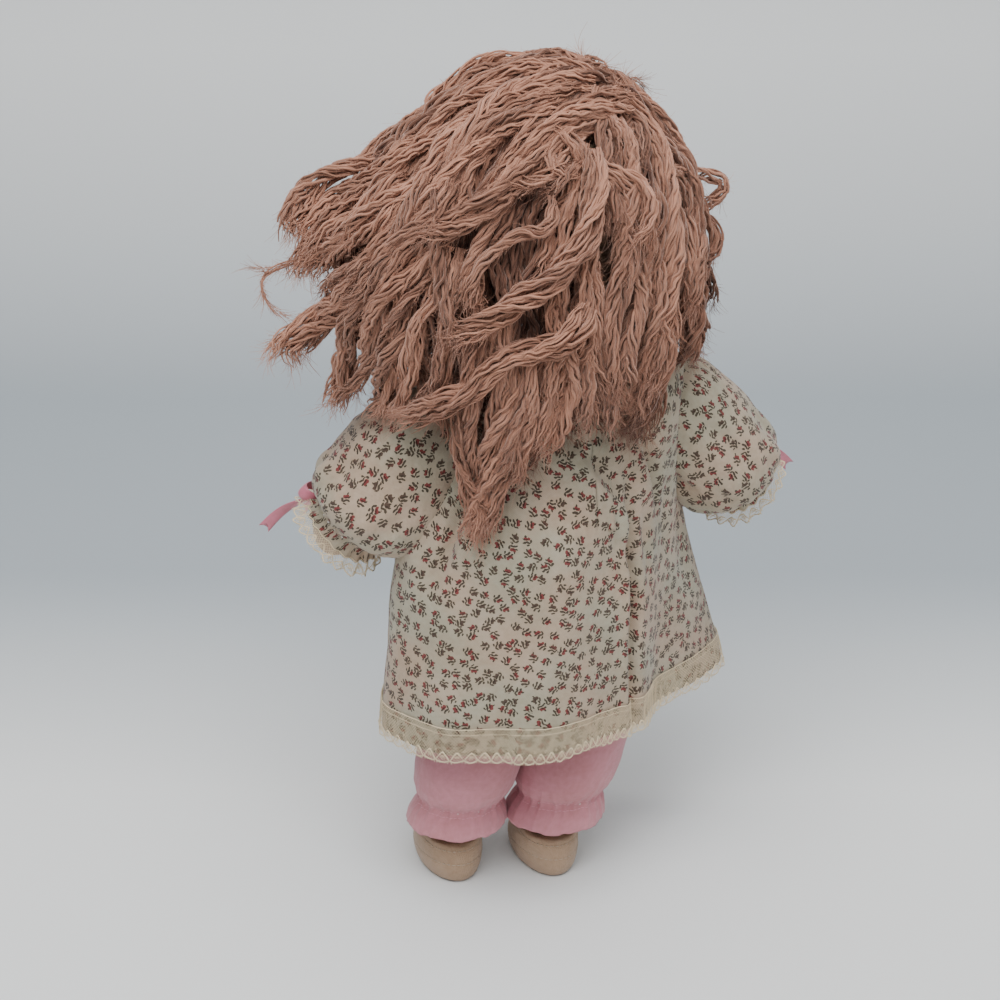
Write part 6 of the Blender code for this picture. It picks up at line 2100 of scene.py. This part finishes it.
# How far along the paper behind the doll painted shade turns it darker and lets it go pale again
FLOOR_SHADE_NEAR = 0.06
FLOOR_SHADE_MIDDLE = 0.3
FLOOR_SHADE_FAR = 0.58
FLOOR_SHADE_END = 1.1


def make_stage():
    """A pale floor that bends up behind the doll, with a band of painted shade on it towards the bend."""
    ahead, right, _ = camera_axes()
    forward = Vector((ahead.x, ahead.y, 0)).normalized()
    across = np.array(right)
    profile = [(d, 0.0) for d in np.linspace(FLOOR_NEAR, WALL_AWAY, 24)]
    for k in range(1, 13):
        angle = pi / 2 * k / 12
        profile.append((WALL_AWAY + BEND * sin(angle), BEND * (1 - cos(angle))))
    profile += [(WALL_AWAY + BEND, z) for z in np.linspace(BEND + 0.05, WALL_TALL, 12)]
    rows = []
    for distance, height in profile:
        line = np.array(forward) * distance + np.array((0, 0, height))
        rows.append([line + across * w for w in np.linspace(-FLOOR_WIDE / 2, FLOOR_WIDE / 2, 25)])
    rows = np.array(rows)
    look, t, shader = new_material("pale paper", 0.9)
    place = t.add("TexCoord").outputs["Object"]
    grain = t.noise(place, 900.0, 3.0)
    # Painted shade: the paper is coloured darker and bluer in a band behind the doll, where the bend lies in
    # shade
    along = t.vector("DOT_PRODUCT", place, (forward.x, forward.y, 1.0))
    darker = t.math("MULTIPLY", t.span(along, FLOOR_SHADE_NEAR, FLOOR_SHADE_MIDDLE),
                    t.span(along, FLOOR_SHADE_FAR, FLOOR_SHADE_END, 1.0, 0.0))
    eased = t.math("SMOOTH_MIN", darker, 1.0, 0.3)
    t.put(shader.inputs["Base Color"], t.mix(eased, paint(224, 225, 224), paint(160, 168, 174)))
    add_bump(t, shader, ((grain, 0.1 * MM, 0.2),))
    floor = make_object("studio_floor", rows, grid_quads(len(profile), 25, False), look)


def make_camera():
    ahead, _, _ = camera_axes()
    lens = bpy.data.cameras.new("camera")
    lens.lens = CAMERA_LENS
    lens.sensor_width = SENSOR
    camera = bpy.data.objects.new("camera", lens)
    camera.location = AIM - ahead * CAMERA_AWAY
    camera.rotation_euler = ahead.to_track_quat("-Z", "Y").to_euler()
    bpy.context.scene.collection.objects.link(camera)
    bpy.context.scene.camera = camera


# Each light: turn round the doll and rise in degrees, distance and size in metres, power, colour
LIGHTS = (
    ("window", 152, 56, 1.5, 1.1, 21.0, (0.97, 0.98, 1.0)),
    ("fill", 215, 35, 1.7, 1.4, 5.0, (0.94, 0.97, 1.0)),
    ("top", 163, 80, 1.5, 1.2, 19.0, (1.0, 0.99, 0.98)),
)


def make_lights():
    for name, turn, rise, away, size, power, colour in LIGHTS:
        lamp = bpy.data.lights.new(name, "AREA")
        lamp.energy = power
        lamp.size = size
        lamp.color = colour
        item = bpy.data.objects.new(name, lamp)
        turn, rise = radians(turn), radians(rise)
        way = Vector((sin(turn) * cos(rise), -cos(turn) * cos(rise), sin(rise)))
        item.location = AIM + way * away
        item.rotation_euler = (-way).to_track_quat("-Z", "Y").to_euler()
        bpy.context.scene.collection.objects.link(item)
    world = bpy.data.worlds.new("studio")
    world.use_nodes = True
    back = world.node_tree.nodes["Background"]
    back.inputs["Color"].default_value = (0.86, 0.9, 0.95, 1.0)
    back.inputs["Strength"].default_value = 0.33
    bpy.context.scene.world = world


def finish_small_parts():
    """The solids that keep their CAD shape get their own materials."""
    for node in ("waist_elastic", "neck_elastic"):
        new_look(node, ELASTIC)
    for node in ("back_snap_socket", "back_snap_stud"):
        new_look(node, SNAP)


def new_look(node, look):
    slots = frame["nodes"][node].material_slots
    for slot in slots:
        slot.material = look


make_camera()
make_lights()
make_stage()
make_stuffed_forms()
make_feet()
make_head()
dress, turns, panels = make_dress()
make_placket()
make_hem_lace(dress, turns)
make_neck_lace(dress)
make_sleeves()
make_bloomers()
make_hair()
finish_small_parts()
